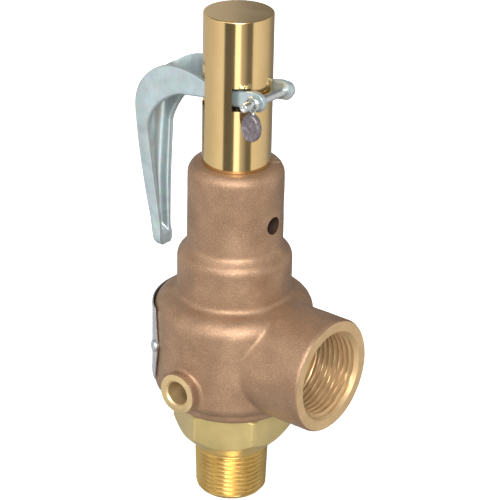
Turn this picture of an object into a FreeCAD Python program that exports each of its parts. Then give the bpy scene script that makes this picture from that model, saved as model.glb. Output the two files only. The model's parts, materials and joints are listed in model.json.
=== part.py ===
import FreeCAD, Part
import math
import os

import Sketcher

# Side-outlet pressure relief valve, 3/4" male inlet, 1" female outlet.
# Millimetres.  The origin is the centre of the inlet thread's lower end, +Z runs up the
# valve's axis, +X points out of the outlet and -Y out of the drain boss.

SIZES = {
    # inlet nozzle
    "inlet_thread_radius": 13.17,
    "inlet_thread_top": 18.9,
    "inlet_bore_radius": 9.6,
    "inlet_bore_depth": 26.0,
    "throat_radius": 6.5,
    "throat_start": 34.0,
    "hex_flat_radius": 19.3,
    "hex_corner_radius": 22.0,
    "hex_top": 38.0,
    "hex_cone_height": 8.8,
    "nozzle_thread_radius": 16.4,
    "nozzle_thread_top": 48.5,
    "nozzle_tip_radius": 9.0,
    "seat_level": 57.0,
    "seat_land": 1.6,
    # cast body
    "rim_radius": 21.0,
    "rim_flare": 1.6,
    "rim_top": 42.5,
    "belly_radius": 28.8,
    "belly_bottom": 47.0,
    "belly_top": 81.0,
    "belly_rounding": 6.5,
    "rim_rounding": 2.4,
    "shoulder_radius": 20.75,
    "shoulder_top": 100.0,
    "shoulder_rounding": 4.8,
    "neck_radius": 17.3,
    "neck_top": 131.5,
    "neck_rounding": 4.3,
    "spigot_radius": 10.7,
    "spigot_top": 139.5,
    "chamber_radius": 22.0,
    "chamber_top": 70.0,
    "guide_radius": 7.06,
    "guide_bottom": 75.0,
    "guide_top": 83.0,
    "spring_room_radius": 11.9,
    "spring_room_top": 121.5,
    # outlet boss and bore
    "outlet_face": 44.6,
    "outlet_level": 61.0,
    "outlet_radius": 21.0,
    "outlet_thread_radius": 14.85,
    "outlet_thread_depth": 19.0,
    "outlet_port_radius": 13.4,
    # drain boss and vent
    "drain_face": 32.3,
    "drain_level": 51.5,
    "drain_boss_radius": 7.6,
    "drain_bore_radius": 4.4,
    "vent_level": 111.5,
    "vent_radius": 3.3,
    # regulating ring and its set screw
    "ring_radius": 12.8,
    "ring_bottom": 50.2,
    "ring_top": 55.8,
    "ring_notch_width": 2.0,
    "ring_notch_depth": 1.4,
    "ring_notch_count": 12,
    "set_screw_radius": 2.5,
    "set_screw_level": 53.0,
    "set_screw_point": 0.95,
    "set_screw_outer": 28.1,
    # disc and holder
    "disc_radius": 8.4,
    "disc_height": 2.6,
    "holder_radius": 12.4,
    "holder_skirt": 0.7,
    "holder_top": 64.0,
    "holder_stem_radius": 7.0,
    "holder_stem_top": 84.0,
    "holder_pocket_bottom": 72.0,
    # spindle
    "spindle_radius": 2.5,
    "spindle_top": 176.0,
    "collar_radius": 4.2,
    "collar_bottom": 85.0,
    "running_gap": 0.06,
    # spring and its steps
    "step_radius": 11.2,
    "step_boss_radius": 7.4,
    "step_thickness": 3.0,
    "step_boss_height": 2.5,
    "spring_bottom": 91.0,
    "spring_top": 117.0,
    "spring_mean_radius": 9.3,
    "wire_radius": 1.45,
    "spring_pitch": 4.6,
    "spring_seat_gap": 0.05,
    "spring_ground": 1.8,
    # compression screw and locknut
    "screw_radius": 8.0,
    "screw_top": 146.0,
    "screw_head_flat": 5.5,
    "screw_head_top": 150.5,
    "locknut_flat": 8.5,
    "locknut_height": 5.0,
    # cap
    "cap_radius": 12.35,
    "cap_wall": 1.4,
    "cap_top": 187.3,
    "cap_crown": 2.4,
    "cap_rounding": 0.8,
    "window_inner": 6.3,
    "window_outer": 10.8,
    "sill": 155.0,
    "front_window_top": 163.3,
    "rear_window_bottom": 153.8,
    "rear_window_top": 168.8,
    # lift washer and nuts on the spindle
    "washer_radius": 9.2,
    "washer_bottom": 162.2,
    "washer_thickness": 2.2,
    "thread_chamfer": 0.6,
    "nut_flat": 4.9,
    "nut_height": 4.0,
    "jam_nut_height": 3.0,
    # lever
    "lever_half_width": 8.8,
    "lever_sheet": 1.9,
    "nose_across": 14.8,
    "nose_level": 159.7,
    "nose_radius": 3.5,
    "arch_across": 20.4,
    "arch_level": 143.6,
    "arch_radius": 20.6,
    "taper_top": 153.0,
    "taper_bottom": 100.0,
    "tip_half_width": 3.5,
    "tip_level": 89.4,
    "slot_end": 27.0,
    "slot_depth": 25.0,
    "heel_across": 9.3,
    "heel_radius": 1.5,
    "heel_gap": 0.15,
    "arm_crown": 6.6,
    "handle_bow_across": 40.0,
    "handle_bow_level": 116.0,
    "handle_end_across": 36.7,
    "arm_bend_across": 8.0,
    "arm_bend_rise": 0.4,
    "crest_across": 13.5,
    "crest_rise": 1.8,
    "crook_across": 19.2,
    "crook_drop": 0.8,
    "crook_bow_across": 28.6,
    "crook_bow_drop": 6.7,
    "free_edge_across": 34.8,
    "free_edge_drop": 18.0,
    "free_edge_waist": 32.8,
    "free_edge_end": 32.0,
    "tip_corner": 0.7,
    # pin, wire and seal
    "pin_radius": 1.58,
    "pin_near_end": 15.6,
    "pin_head_radius": 2.9,
    "pin_head_thickness": 1.5,
    "seal_across": 15.75,
    "seal_level": 151.95,
    "seal_out": 12.0,
    "seal_half_width": 3.8,
    "seal_half_height": 5.9,
    "wire_out": 10.6,
    "seal_thickness": 2.6,
    "loop_radius": 2.75,
    "loop_wire_radius": 0.38,
    # nameplate and its drive screws
    "plate_radius": 29.2,
    "plate_thickness": 0.6,
    "plate_level": 62.6,
    "plate_half_height": 14.4,
    "plate_half_width": 24.1,
    "plate_point": 26.0,
    "drive_screw_angle": 56.5,
    "drive_screw_radius": 1.2,
    "drive_head_radius": 2.3,
    "drive_head_height": 1.3,
}


class Term:
    """A size that carries both its number and the sheet expression that gives it."""

    def __init__(self, number, text):
        self.number = number
        self.text = text

    def __add__(self, other):
        other = as_term(other)
        return Term(self.number + other.number, "(%s + %s)" % (self.text, other.text))

    def __radd__(self, other):
        return as_term(other) + self

    def __sub__(self, other):
        other = as_term(other)
        return Term(self.number - other.number, "(%s - %s)" % (self.text, other.text))

    def __rsub__(self, other):
        return as_term(other) - self

    def __mul__(self, other):
        other = as_term(other)
        return Term(self.number * other.number, "(%s * %s)" % (self.text, other.text))

    def __rmul__(self, other):
        return as_term(other) * self

    def __neg__(self):
        return Term(-self.number, "(-%s)" % self.text)


def as_term(size):
    return size if isinstance(size, Term) else Term(float(size), repr(float(size)))


class SheetSizes:
    """Gives each cell of the sheet as a Term, by its alias."""

    def __getattr__(self, alias):
        return Term(SIZES[alias], "Sizes." + alias)


doc = FreeCAD.newDocument("relief_valve")
sheet = doc.addObject("Spreadsheet::Sheet", "Sizes")
for row, (alias, size) in enumerate(SIZES.items(), start=1):
    sheet.set("A%d" % row, str(size))
    sheet.setAlias("A%d" % row, alias)
doc.recompute()
s = SheetSizes()
parts = []


# ---------------------------------------------------------------- helpers

def bind(thing, prop, size):
    """Give a property its number and tie it to the sheet."""
    thing.setExpression(prop, as_term(size).text)


def place(thing, across=0.0, along=0.0, up=0.0, axis=(0, 0, 1), angle=0.0):
    """Turn a thing about an axis through its origin, then move it, tied to the sheet."""
    turn = FreeCAD.Rotation(FreeCAD.Vector(*axis), angle)
    thing.Placement = FreeCAD.Placement(FreeCAD.Vector(0, 0, 0), turn)
    for name, size in (("x", across), ("y", along), ("z", up)):
        bind(thing, "Placement.Base." + name, size)


def keep(thing, label):
    """List a finished sub-part under the name of its file."""
    thing.Label = label
    parts.append(thing)
    return thing


def tie(sketch, kind, geometry, end, size):
    """Hold one end of an edge at a signed distance from the sketch's origin."""
    size = as_term(size)
    if size.number == 0:
        axis = -2 if kind == "DistanceX" else -1
        sketch.addConstraint(Sketcher.Constraint("PointOnObject", geometry, end, axis))
        return
    if size.number > 0:
        rule = Sketcher.Constraint(kind, -1, 1, geometry, end, size.number)
    else:
        size = -size
        rule = Sketcher.Constraint(kind, geometry, end, -1, 1, size.number)
    number = sketch.addConstraint(rule)
    sketch.setExpression("Constraints[%d]" % number, size.text)


def draw_outline(sketch, corners):
    """Draw a closed outline.  A corner is (across, up), or (across, up, via_across, via_up)
    where the edge that leaves it is an arc through the via point."""
    count = len(corners)
    ends = []
    for index, corner in enumerate(corners):
        after = corners[(index + 1) % count]
        start = FreeCAD.Vector(as_term(corner[0]).number, as_term(corner[1]).number, 0)
        finish = FreeCAD.Vector(as_term(after[0]).number, as_term(after[1]).number, 0)
        if len(corner) == 2:
            sketch.addGeometry(Part.LineSegment(start, finish), False)
            ends.append((1, 2))
            continue
        via = FreeCAD.Vector(as_term(corner[2]).number, as_term(corner[3]).number, 0)
        sketch.addGeometry(Part.Arc(start, via, finish), False)
        turns_left = (via - start).cross(finish - via).z > 0
        ends.append((1, 2) if turns_left else (2, 1))
    for index, corner in enumerate(corners):
        after = (index + 1) % count
        joined = Sketcher.Constraint("Coincident", index, ends[index][1], after, ends[after][0])
        sketch.addConstraint(joined)
        tie(sketch, "DistanceX", index, ends[index][0], corner[0])
        tie(sketch, "DistanceY", index, ends[index][0], corner[1])


def draw_circle(sketch, across, up, radius):
    centre = FreeCAD.Vector(as_term(across).number, as_term(up).number, 0)
    circle = sketch.addGeometry(Part.Circle(centre, FreeCAD.Vector(0, 0, 1), radius.number), False)
    tie(sketch, "DistanceX", circle, 3, across)
    tie(sketch, "DistanceY", circle, 3, up)
    number = sketch.addConstraint(Sketcher.Constraint("Radius", circle, radius.number))
    sketch.setExpression("Constraints[%d]" % number, radius.text)


def hexagon(flat_radius):
    """Corners of a hexagon with two flats facing along X."""
    corner = flat_radius * (2 / math.sqrt(3))
    turns = [math.radians(30 + 60 * step) for step in range(6)]
    return [(corner * round(math.cos(turn), 9), corner * round(math.sin(turn), 9)) for turn in turns]


def new_sketch(body, role, name):
    """Start a sketch on one of the body's own origin planes."""
    sketch = body.newObject("Sketcher::SketchObject", name)
    planes = [item for item in body.Origin.OriginFeatures if item.Role == role]
    sketch.AttachmentSupport = [(planes[0], "")]
    sketch.MapMode = "FlatFace"
    return sketch


def feature(body, kind, sketch, name):
    """Add a sketch-based feature, and stop if a cut takes nothing away."""
    before = body.Tip.Shape.Volume if body.Tip and body.Tip.Shape.isValid() else 0.0
    thing = body.newObject("PartDesign::" + kind, name)
    thing.Profile = (sketch, [""])
    return thing, before


def turned(body, corners, name, cut=False):
    """Revolve an outline of (radius, height) corners about the body's Z axis."""
    sketch = new_sketch(body, "XZ_Plane", name + "_sketch")
    draw_outline(sketch, corners)
    thing, before = feature(body, "Groove" if cut else "Revolution", sketch, name)
    thing.ReferenceAxis = (sketch, ["V_Axis"])
    thing.Angle = 360.0
    finish_feature(body, before, cut)


def extruded(body, role, draw, name, length, cut=False, reverse=False, middle=False):
    """Pad or pocket a sketch that the draw function fills in."""
    sketch = new_sketch(body, role, name + "_sketch")
    draw(sketch)
    thing, before = feature(body, "Pocket" if cut else "Pad", sketch, name)
    bind(thing, "Length", length)
    thing.Reversed = reverse
    thing.Midplane = middle
    finish_feature(body, before, cut)
    return thing


def finish_feature(body, before, cut):
    doc.recompute()
    after = body.Shape.Volume
    if cut and not after < before - 1e-3:
        raise RuntimeError("%s takes nothing away" % body.Tip.Name)
    if not cut and not after > before:
        raise RuntimeError("%s adds nothing" % body.Tip.Name)


def round_rims(body, rims, radius, name):
    """Round the full circles about the Z axis at the given (radius, height) places."""
    base = body.Tip
    found = []
    for number, edge in enumerate(base.Shape.Edges, start=1):
        if not isinstance(edge.Curve, Part.Circle) or not edge.isClosed():
            continue
        circle = edge.Curve
        for rim_radius, level in rims:
            near_radius = abs(circle.Radius - rim_radius.number) < 0.01
            near_level = abs(circle.Center.z - level.number) < 0.01
            if near_radius and near_level:
                found.append("Edge%d" % number)
    fillet = body.newObject("PartDesign::Fillet", name)
    fillet.Base = (base, found)
    bind(fillet, "Radius", radius)
    doc.recompute()


def new_body(name):
    return doc.addObject("PartDesign::Body", name)


def turned_part(label, corners):
    """A sub-part that is one revolved outline."""
    body = new_body(label)
    turned(body, corners, label + "_turning")
    return keep(body, label)


CHAMFER_SLOPE = round(math.tan(math.radians(30)), 4)


def nut(label, flat_radius, bore_radius, bottom, height):
    """A hexagon nut with chamfered corners, standing on its bottom height."""
    body = new_body(label)
    extruded(body, "XY_Plane", lambda sketch: draw_outline(sketch, hexagon(flat_radius)),
             label + "_pad", height)
    turned(body, [(0, 0), (bore_radius, 0), (bore_radius, height), (0, height)], label + "_bore", cut=True)
    corner = flat_radius * (2 / math.sqrt(3))
    rim = flat_radius - 0.1
    beyond = corner + 1.0
    chamfer = [(rim, height), (beyond, height), (beyond, height - (beyond - rim) * CHAMFER_SLOPE)]
    turned(body, chamfer, label + "_chamfer", cut=True)
    place(body, up=bottom)
    return keep(body, label)


# ---------------------------------------------------------------- inlet nozzle

nozzle = new_body("inlet_nozzle")
extruded(nozzle, "XY_Plane", lambda sketch: draw_outline(sketch, hexagon(s.hex_flat_radius)),
         "hex_pad", s.hex_top)
turned(nozzle, [(s.inlet_thread_radius, 0), (s.hex_corner_radius + 2, 0),
                (s.hex_corner_radius + 2, s.inlet_thread_top + s.hex_cone_height + 1.2),
                (s.hex_corner_radius, s.inlet_thread_top + s.hex_cone_height),
                (s.inlet_thread_radius, s.inlet_thread_top)], "hex_underside", cut=True)
turned(nozzle, [(s.hex_corner_radius, s.inlet_thread_top), (s.hex_corner_radius + 2, s.inlet_thread_top),
                (s.hex_corner_radius + 2, s.hex_top), (s.hex_corner_radius, s.hex_top)],
       "hex_corners", cut=True)
turned(nozzle, [(0, s.hex_top - 2), (s.nozzle_thread_radius, s.hex_top - 2),
                (s.nozzle_thread_radius, s.nozzle_thread_top), (s.nozzle_tip_radius, s.nozzle_thread_top),
                (s.nozzle_tip_radius, s.seat_level - 0.8),
                (s.throat_radius + s.seat_land, s.seat_level), (0, s.seat_level)], "nozzle_top")
turned(nozzle, [(0, -1), (s.inlet_bore_radius, -1), (s.inlet_bore_radius, s.inlet_bore_depth),
                (s.throat_radius, s.throat_start), (s.throat_radius, s.seat_level + 1),
                (0, s.seat_level + 1)], "nozzle_bore", cut=True)
keep(nozzle, "inlet_nozzle")

# ---------------------------------------------------------------- cast body

body = new_body("valve_body")
turned(body, [(0, s.hex_top), (s.rim_radius, s.hex_top), (s.rim_radius + s.rim_flare, s.rim_top),
              (s.belly_radius, s.belly_bottom), (s.belly_radius, s.belly_top),
              (s.shoulder_radius, s.belly_top), (s.shoulder_radius, s.shoulder_top),
              (s.neck_radius, s.shoulder_top), (s.neck_radius, s.neck_top),
              (s.spigot_radius, s.neck_top), (s.spigot_radius, s.spigot_top), (0, s.spigot_top)],
       "body_skin")
round_rims(body, [(s.belly_radius, s.belly_top)], s.belly_rounding, "belly_crown")
round_rims(body, [(s.shoulder_radius, s.shoulder_top)], s.shoulder_rounding - 1.5, "shoulder_crown")
round_rims(body, [(s.neck_radius, s.neck_top)], s.neck_rounding, "neck_crown")
round_rims(body, [(s.belly_radius, s.belly_bottom)], s.rim_rounding, "belly_heel")
extruded(body, "YZ_Plane", lambda sketch: draw_circle(sketch, 0, s.outlet_level, s.outlet_radius),
         "outlet_boss", s.outlet_face)
extruded(body, "XZ_Plane", lambda sketch: draw_circle(sketch, 0, s.drain_level, s.drain_boss_radius),
         "drain_boss", s.drain_face)
turned(body, [(0, s.hex_top - 1), (s.nozzle_thread_radius, s.hex_top - 1),
              (s.nozzle_thread_radius, s.nozzle_thread_top), (s.chamber_radius, s.nozzle_thread_top + 1),
              (s.chamber_radius, s.chamber_top), (s.holder_radius + 1, s.guide_bottom),
              (s.guide_radius, s.guide_bottom), (s.guide_radius, s.guide_top),
              (s.spring_room_radius, s.guide_top), (s.spring_room_radius, s.spring_room_top),
              (s.screw_radius, s.spring_room_top), (s.screw_radius, s.spigot_top + 1),
              (0, s.spigot_top + 1)], "body_room", cut=True)


def bore_from_plane(role, across, level, radius, start, length, name, reverse):
    """Cut a round bore in the body whose far end is at start and which runs on for length."""
    sketch = new_sketch(body, role, name + "_sketch")
    draw_circle(sketch, across, level, radius)
    bind(sketch, "AttachmentOffset.Base.z", start)
    thing, before = feature(body, "Pocket", sketch, name)
    bind(thing, "Length", length)
    thing.Reversed = reverse
    finish_feature(body, before, True)


bore_from_plane("YZ_Plane", 0, s.outlet_level, s.outlet_thread_radius,
                s.outlet_face - s.outlet_thread_depth, s.outlet_thread_depth + 1, "outlet_bore", True)
bore_from_plane("YZ_Plane", 0, s.outlet_level, s.outlet_port_radius,
                s.guide_radius, s.outlet_face - s.guide_radius, "outlet_port", True)
bore_from_plane("XZ_Plane", 0, s.drain_level, s.drain_bore_radius,
                s.chamber_radius - 1, s.drain_face - s.chamber_radius + 2, "drain_bore", True)
bore_from_plane("YZ_Plane", 0, s.vent_level, s.vent_radius,
                s.spring_room_radius - 1, s.neck_radius, "vent_hole", True)
bore_from_plane("XZ_Plane", 0, s.set_screw_level, s.set_screw_radius,
                -s.belly_radius - 1, s.belly_radius + 1 - s.chamber_radius + 1, "set_screw_hole", True)
keep(body, "valve_body")

# ---------------------------------------------------------------- regulating ring and set screw

ring = new_body("regulating_ring")
turned(ring, [(s.nozzle_tip_radius, s.ring_bottom), (s.ring_radius, s.ring_bottom),
              (s.ring_radius, s.ring_top), (s.nozzle_tip_radius, s.ring_top)], "ring_turning")


def draw_notch(sketch):
    half = s.ring_notch_width * 0.5
    low = s.ring_radius - s.ring_notch_depth
    draw_outline(sketch, [(-half, low), (half, low), (half, s.ring_radius + 1), (-half, s.ring_radius + 1)])


notch = extruded(ring, "XY_Plane", draw_notch, "ring_notch", s.ring_top + 1, cut=True, reverse=True)
notches = ring.newObject("PartDesign::PolarPattern", "ring_notches")
notches.Originals = [notch]
notches.Axis = (notch.Profile[0], ["N_Axis"])
notches.Angle = 360.0
bind(notches, "Occurrences", s.ring_notch_count)
ring.Tip = notches
doc.recompute()
keep(ring, "regulating_ring")

screw_inner = s.ring_radius - s.ring_notch_depth + 0.2
screw = new_body("ring_set_screw")
turned(screw, [(0, screw_inner), (s.set_screw_point, screw_inner),
               (s.set_screw_point, s.ring_radius + 1.2), (s.set_screw_radius, s.ring_radius + 2.8),
               (s.set_screw_radius, s.set_screw_outer), (0, s.set_screw_outer)], "set_screw_turning")


def draw_driver_slot(sketch):
    draw_outline(sketch, [(-s.set_screw_radius - 1, s.set_screw_outer - 1.4),
                          (s.set_screw_radius + 1, s.set_screw_outer - 1.4),
                          (s.set_screw_radius + 1, s.set_screw_outer + 1),
                          (-s.set_screw_radius - 1, s.set_screw_outer + 1)])


extruded(screw, "XZ_Plane", draw_driver_slot, "driver_slot", 0.9, cut=True, middle=True)
place(screw, up=s.set_screw_level, axis=(1, 0, 0), angle=-90)
keep(screw, "ring_set_screw")

# ---------------------------------------------------------------- disc, holder and spindle

turned_part("seat_disc", [(0, s.seat_level), (s.disc_radius, s.seat_level),
                          (s.disc_radius, s.seat_level + s.disc_height), (0, s.seat_level + s.disc_height)])
turned_part("disc_holder", [
    (0, s.seat_level + s.disc_height), (s.disc_radius, s.seat_level + s.disc_height),
    (s.disc_radius, s.seat_level + s.holder_skirt), (s.holder_radius, s.seat_level + s.holder_skirt),
    (s.holder_radius, s.holder_top), (s.holder_stem_radius, s.holder_top + 2),
    (s.holder_stem_radius, s.holder_stem_top), (s.spindle_radius + 0.3, s.holder_stem_top),
    (s.spindle_radius + 0.3, s.holder_pocket_bottom), (0, s.holder_pocket_bottom - 1.5)])
turned_part("spindle", [
    (0, s.holder_pocket_bottom - 1.5), (s.spindle_radius, s.holder_pocket_bottom),
    (s.spindle_radius, s.collar_bottom), (s.collar_radius, s.collar_bottom),
    (s.collar_radius, s.spring_bottom - s.step_thickness),
    (s.spindle_radius, s.spring_bottom - s.step_thickness),
    (s.spindle_radius, s.spindle_top - s.thread_chamfer),
    (s.spindle_radius - s.thread_chamfer, s.spindle_top), (0, s.spindle_top)])
turned_part("lower_spring_step", [
    (s.spindle_radius, s.spring_bottom - s.step_thickness),
    (s.step_radius, s.spring_bottom - s.step_thickness),
    (s.step_radius, s.spring_bottom), (s.step_boss_radius, s.spring_bottom),
    (s.step_boss_radius, s.spring_bottom + s.step_boss_height),
    (s.spindle_radius, s.spring_bottom + s.step_boss_height)])

# ---------------------------------------------------------------- spring, steps and screw

stem_hole = s.spindle_radius + s.running_gap
step_hole = stem_hole + 0.3
turned_part("upper_spring_step", [
    (step_hole, s.spring_top - s.step_boss_height), (s.step_boss_radius, s.spring_top - s.step_boss_height),
    (s.step_boss_radius, s.spring_top), (s.step_radius, s.spring_top),
    (s.step_radius, s.spring_top + s.step_thickness), (step_hole, s.spring_top + s.step_thickness)])

# The coil runs on past both steps, and its ends are then ground flat between them.
coil_height = s.spring_top - s.spring_bottom
coil_start = s.spring_bottom - s.spring_ground
helix = doc.addObject("Part::Helix", "spring_helix")
bind(helix, "Pitch", s.spring_pitch)
bind(helix, "Height", coil_height + s.spring_ground * 2)
bind(helix, "Radius", s.spring_mean_radius)
place(helix, up=coil_start)
wire_section = doc.addObject("Part::Circle", "spring_section")
bind(wire_section, "Radius", s.wire_radius)
place(wire_section, across=s.spring_mean_radius, up=coil_start, axis=(1, 0, 0), angle=90)
coil = doc.addObject("Part::Sweep", "spring_coil")
coil.Sections = [wire_section]
coil.Spine = (helix, [])
coil.Solid = True
coil.Frenet = True
ground = doc.addObject("Part::Cylinder", "spring_ground_ends")
bind(ground, "Radius", s.spring_mean_radius + s.wire_radius + 0.5)
bind(ground, "Height", coil_height - s.spring_seat_gap * 2)
place(ground, up=s.spring_bottom + s.spring_seat_gap)
spring = doc.addObject("Part::Common", "spring")
spring.Base = coil
spring.Tool = ground
keep(spring, "spring")

compression = new_body("compression_screw")
screw_bottom = s.spring_top + s.step_thickness
turned(compression, [(stem_hole, screw_bottom), (s.screw_radius, screw_bottom),
                     (s.screw_radius, s.screw_top), (stem_hole, s.screw_top)], "screw_turning")
extruded(compression, "XY_Plane", lambda sketch: draw_outline(sketch, hexagon(s.screw_head_flat)),
         "screw_head", s.screw_head_top)
turned(compression, [(0, -1), (s.screw_radius, -1), (s.screw_radius, screw_bottom), (0, screw_bottom)],
       "screw_below", cut=True)
turned(compression, [(0, s.spring_top), (stem_hole, s.spring_top), (stem_hole, s.screw_head_top + 1),
                     (0, s.screw_head_top + 1)], "screw_bore", cut=True)
keep(compression, "compression_screw")

nut("compression_locknut", s.locknut_flat, s.screw_radius, s.spigot_top, s.locknut_height)

# ---------------------------------------------------------------- cap

cap = new_body("cap")
turned(cap, [(s.spigot_radius, s.neck_top), (s.cap_radius, s.neck_top), (s.cap_radius, s.cap_top),
             (0, s.cap_top), (0, s.cap_top - s.cap_crown),
             (s.cap_radius - s.cap_wall, s.cap_top - s.cap_crown),
             (s.cap_radius - s.cap_wall, s.spigot_top), (s.spigot_radius, s.spigot_top)], "cap_turning")
round_rims(cap, [(s.cap_radius, s.cap_top)], s.cap_rounding, "cap_edge")


def draw_windows(bottom, top):
    def draw(sketch):
        for side in (-1, 1):
            near = s.window_inner * side
            far = s.window_outer * side
            first = sketch.GeometryCount
            draw_rectangle(sketch, first, near, far, bottom, top)
    return draw


def draw_rectangle(sketch, first, left, right, bottom, top):
    """One rectangle whose edges are numbered from first."""
    corners = [(left, bottom), (right, bottom), (right, top), (left, top)]
    for index, corner in enumerate(corners):
        after = corners[(index + 1) % 4]
        start = FreeCAD.Vector(corner[0].number, corner[1].number, 0)
        finish = FreeCAD.Vector(after[0].number, after[1].number, 0)
        sketch.addGeometry(Part.LineSegment(start, finish), False)
    for index, corner in enumerate(corners):
        after = first + (index + 1) % 4
        sketch.addConstraint(Sketcher.Constraint("Coincident", first + index, 2, after, 1))
        tie(sketch, "DistanceX", first + index, 1, corner[0])
        tie(sketch, "DistanceY", first + index, 1, corner[1])


extruded(cap, "YZ_Plane", draw_windows(s.sill, s.front_window_top), "front_windows",
         s.cap_radius + 1, cut=True, reverse=True)
extruded(cap, "YZ_Plane", draw_windows(s.rear_window_bottom, s.rear_window_top), "rear_windows",
         s.cap_radius + 1, cut=True)
keep(cap, "cap")

# ---------------------------------------------------------------- washer and nuts on the spindle

turned_part("lift_washer", [
    (s.spindle_radius, s.washer_bottom), (s.washer_radius, s.washer_bottom),
    (s.washer_radius, s.washer_bottom + s.washer_thickness),
    (s.spindle_radius, s.washer_bottom + s.washer_thickness)])
nut_bottom = s.washer_bottom + s.washer_thickness
nut("spindle_nut", s.nut_flat, s.spindle_radius, nut_bottom, s.nut_height)
nut("spindle_jam_nut", s.nut_flat, s.spindle_radius, nut_bottom + s.nut_height, s.jam_nut_height)

# ---------------------------------------------------------------- lever

UPRIGHT_XZ = ((1, 0, 0), 90)
UPRIGHT_YZ = ((1, 1, 1), 120)


def slab(name, plane, corners, length, middle=True):
    """A straight extrusion of an outline that stands upright in the XZ or YZ plane."""
    sketch = doc.addObject("Sketcher::SketchObject", name + "_sketch")
    turn = FreeCAD.Rotation(FreeCAD.Vector(*plane[0]), plane[1])
    sketch.Placement = FreeCAD.Placement(FreeCAD.Vector(0, 0, 0), turn)
    draw_outline(sketch, corners)
    block = doc.addObject("Part::Extrusion", name)
    block.Base = sketch
    block.DirMode = "Normal"
    bind(block, "LengthFwd", length)
    block.Symmetric = middle
    block.Solid = True
    return block


def common(name, base, tool):
    result = doc.addObject("Part::Common", name)
    result.Base = base
    result.Tool = tool
    return result


def cut(name, base, tool):
    result = doc.addObject("Part::Cut", name)
    result.Base = base
    result.Tool = tool
    return result


# The lever is cut from one folded sheet.  Seen from the side it has a round nose at the pin, a
# small round heel that rocks on the window sill, an arch, and a bowed handle down to its tip.
diagonal = math.sqrt(0.5)
arch_left = -s.arch_across - s.arch_radius
nose_top = s.nose_level + s.nose_radius
nose_bottom = s.nose_level - s.nose_radius
heel_level = s.sill + s.heel_gap + s.heel_radius
arm_bottom = heel_level - s.heel_radius * 0.6
arm_top = s.sill + s.arm_crown
arm_end = s.nose_across - 9.8
side_outline = [
    (s.nose_across, nose_top, s.nose_across + s.nose_radius, s.nose_level),
    (s.nose_across, nose_bottom),
    (s.heel_across + s.heel_radius * 0.8, arm_bottom, s.heel_across, heel_level - s.heel_radius),
    (s.heel_across - s.heel_radius * 0.8, arm_bottom),
    (-s.arm_bend_across, arm_bottom),
    (-s.crook_across, s.sill - s.crook_drop, -s.crook_bow_across, s.sill - s.crook_bow_drop),
    (-s.free_edge_across, s.sill - s.free_edge_drop),
    (-s.free_edge_waist, s.taper_bottom),
    (-s.free_edge_end, s.tip_level + s.tip_corner),
    (-s.free_edge_end - s.tip_corner, s.tip_level),
    (-s.handle_end_across + s.tip_corner, s.tip_level),
    (-s.handle_end_across, s.tip_level + s.tip_corner, -s.handle_bow_across, s.handle_bow_level),
    (arch_left, s.arch_level,
     -s.arch_across - diagonal * s.arch_radius, s.arch_level + diagonal * s.arch_radius),
    (-s.arch_across, s.arch_level + s.arch_radius, -s.crest_across, arm_top + s.crest_rise),
    (-s.arm_bend_across, arm_top + s.arm_bend_rise),
    (arm_end, arm_top),
    (arm_end + 6.5, nose_top - 0.25),
]
inner_radius = s.arch_radius - s.lever_sheet
inner_left = -s.arch_across - inner_radius
inner_end = -s.handle_end_across + s.lever_sheet
hollow_bottom = s.taper_bottom - 30.0
side_hollow = [
    (-s.arch_across + 3, s.arch_level + inner_radius - 0.1),
    (-s.arch_across + 3, hollow_bottom),
    (inner_end, hollow_bottom),
    (inner_end, s.tip_level, -s.handle_bow_across + s.lever_sheet, s.handle_bow_level),
    (inner_left, s.arch_level,
     -s.arch_across - diagonal * inner_radius, s.arch_level + diagonal * inner_radius),
    (-s.arch_across, s.arch_level + inner_radius),
]


def front_outline(inset, top):
    """The lever seen from its back, straight at the arms and tapering down to the tip."""
    wide = s.lever_half_width - inset
    slim = s.tip_half_width - inset
    return [(-wide, top), (-wide, s.taper_top), (-slim, s.taper_bottom), (-slim, s.tip_level - 1),
            (slim, s.tip_level - 1), (slim, s.taper_bottom), (wide, s.taper_top), (wide, top)]


reach = s.arch_radius * 6
above = s.sill + 12
full_side = slab("lever_side", UPRIGHT_XZ, side_outline, s.lever_half_width * 2)
full_front = slab("lever_front", UPRIGHT_YZ, front_outline(as_term(0.0), above), reach)
hollow_side = slab("hollow_side", UPRIGHT_XZ, side_hollow, s.lever_half_width * 2)
hollow_front = slab("hollow_front", UPRIGHT_YZ, front_outline(s.lever_sheet, above), reach)
slot_half = s.lever_half_width - s.lever_sheet
slot_box = doc.addObject("Part::Box", "slot_box")
bind(slot_box, "Length", s.slot_end + s.nose_across + s.nose_radius + 2)
bind(slot_box, "Width", slot_half * 2)
bind(slot_box, "Height", s.slot_depth)
place(slot_box, across=-s.slot_end, along=-slot_half, up=s.sill - 8)
slot_round = doc.addObject("Part::Cylinder", "slot_round")
bind(slot_round, "Radius", slot_half)
bind(slot_round, "Height", s.slot_depth)
place(slot_round, across=-s.slot_end, up=s.sill - 8)
pin_hole = doc.addObject("Part::Cylinder", "pin_hole")
bind(pin_hole, "Radius", s.pin_radius)
bind(pin_hole, "Height", s.lever_half_width * 2 + 2)
place(pin_hole, across=s.nose_across, along=s.lever_half_width + 1, up=s.nose_level,
      axis=(1, 0, 0), angle=90)
blank = common("lever_blank", full_side, full_front)
channel = common("lever_channel", hollow_side, hollow_front)
folded = cut("lever_folded", blank, channel)
slotted = cut("lever_slotted", folded, slot_box)
notched = cut("lever_notched", slotted, slot_round)
lever = cut("lever_drilled", notched, pin_hole)
keep(lever, "lever")

# ---------------------------------------------------------------- lever pin, wire and seal

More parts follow.
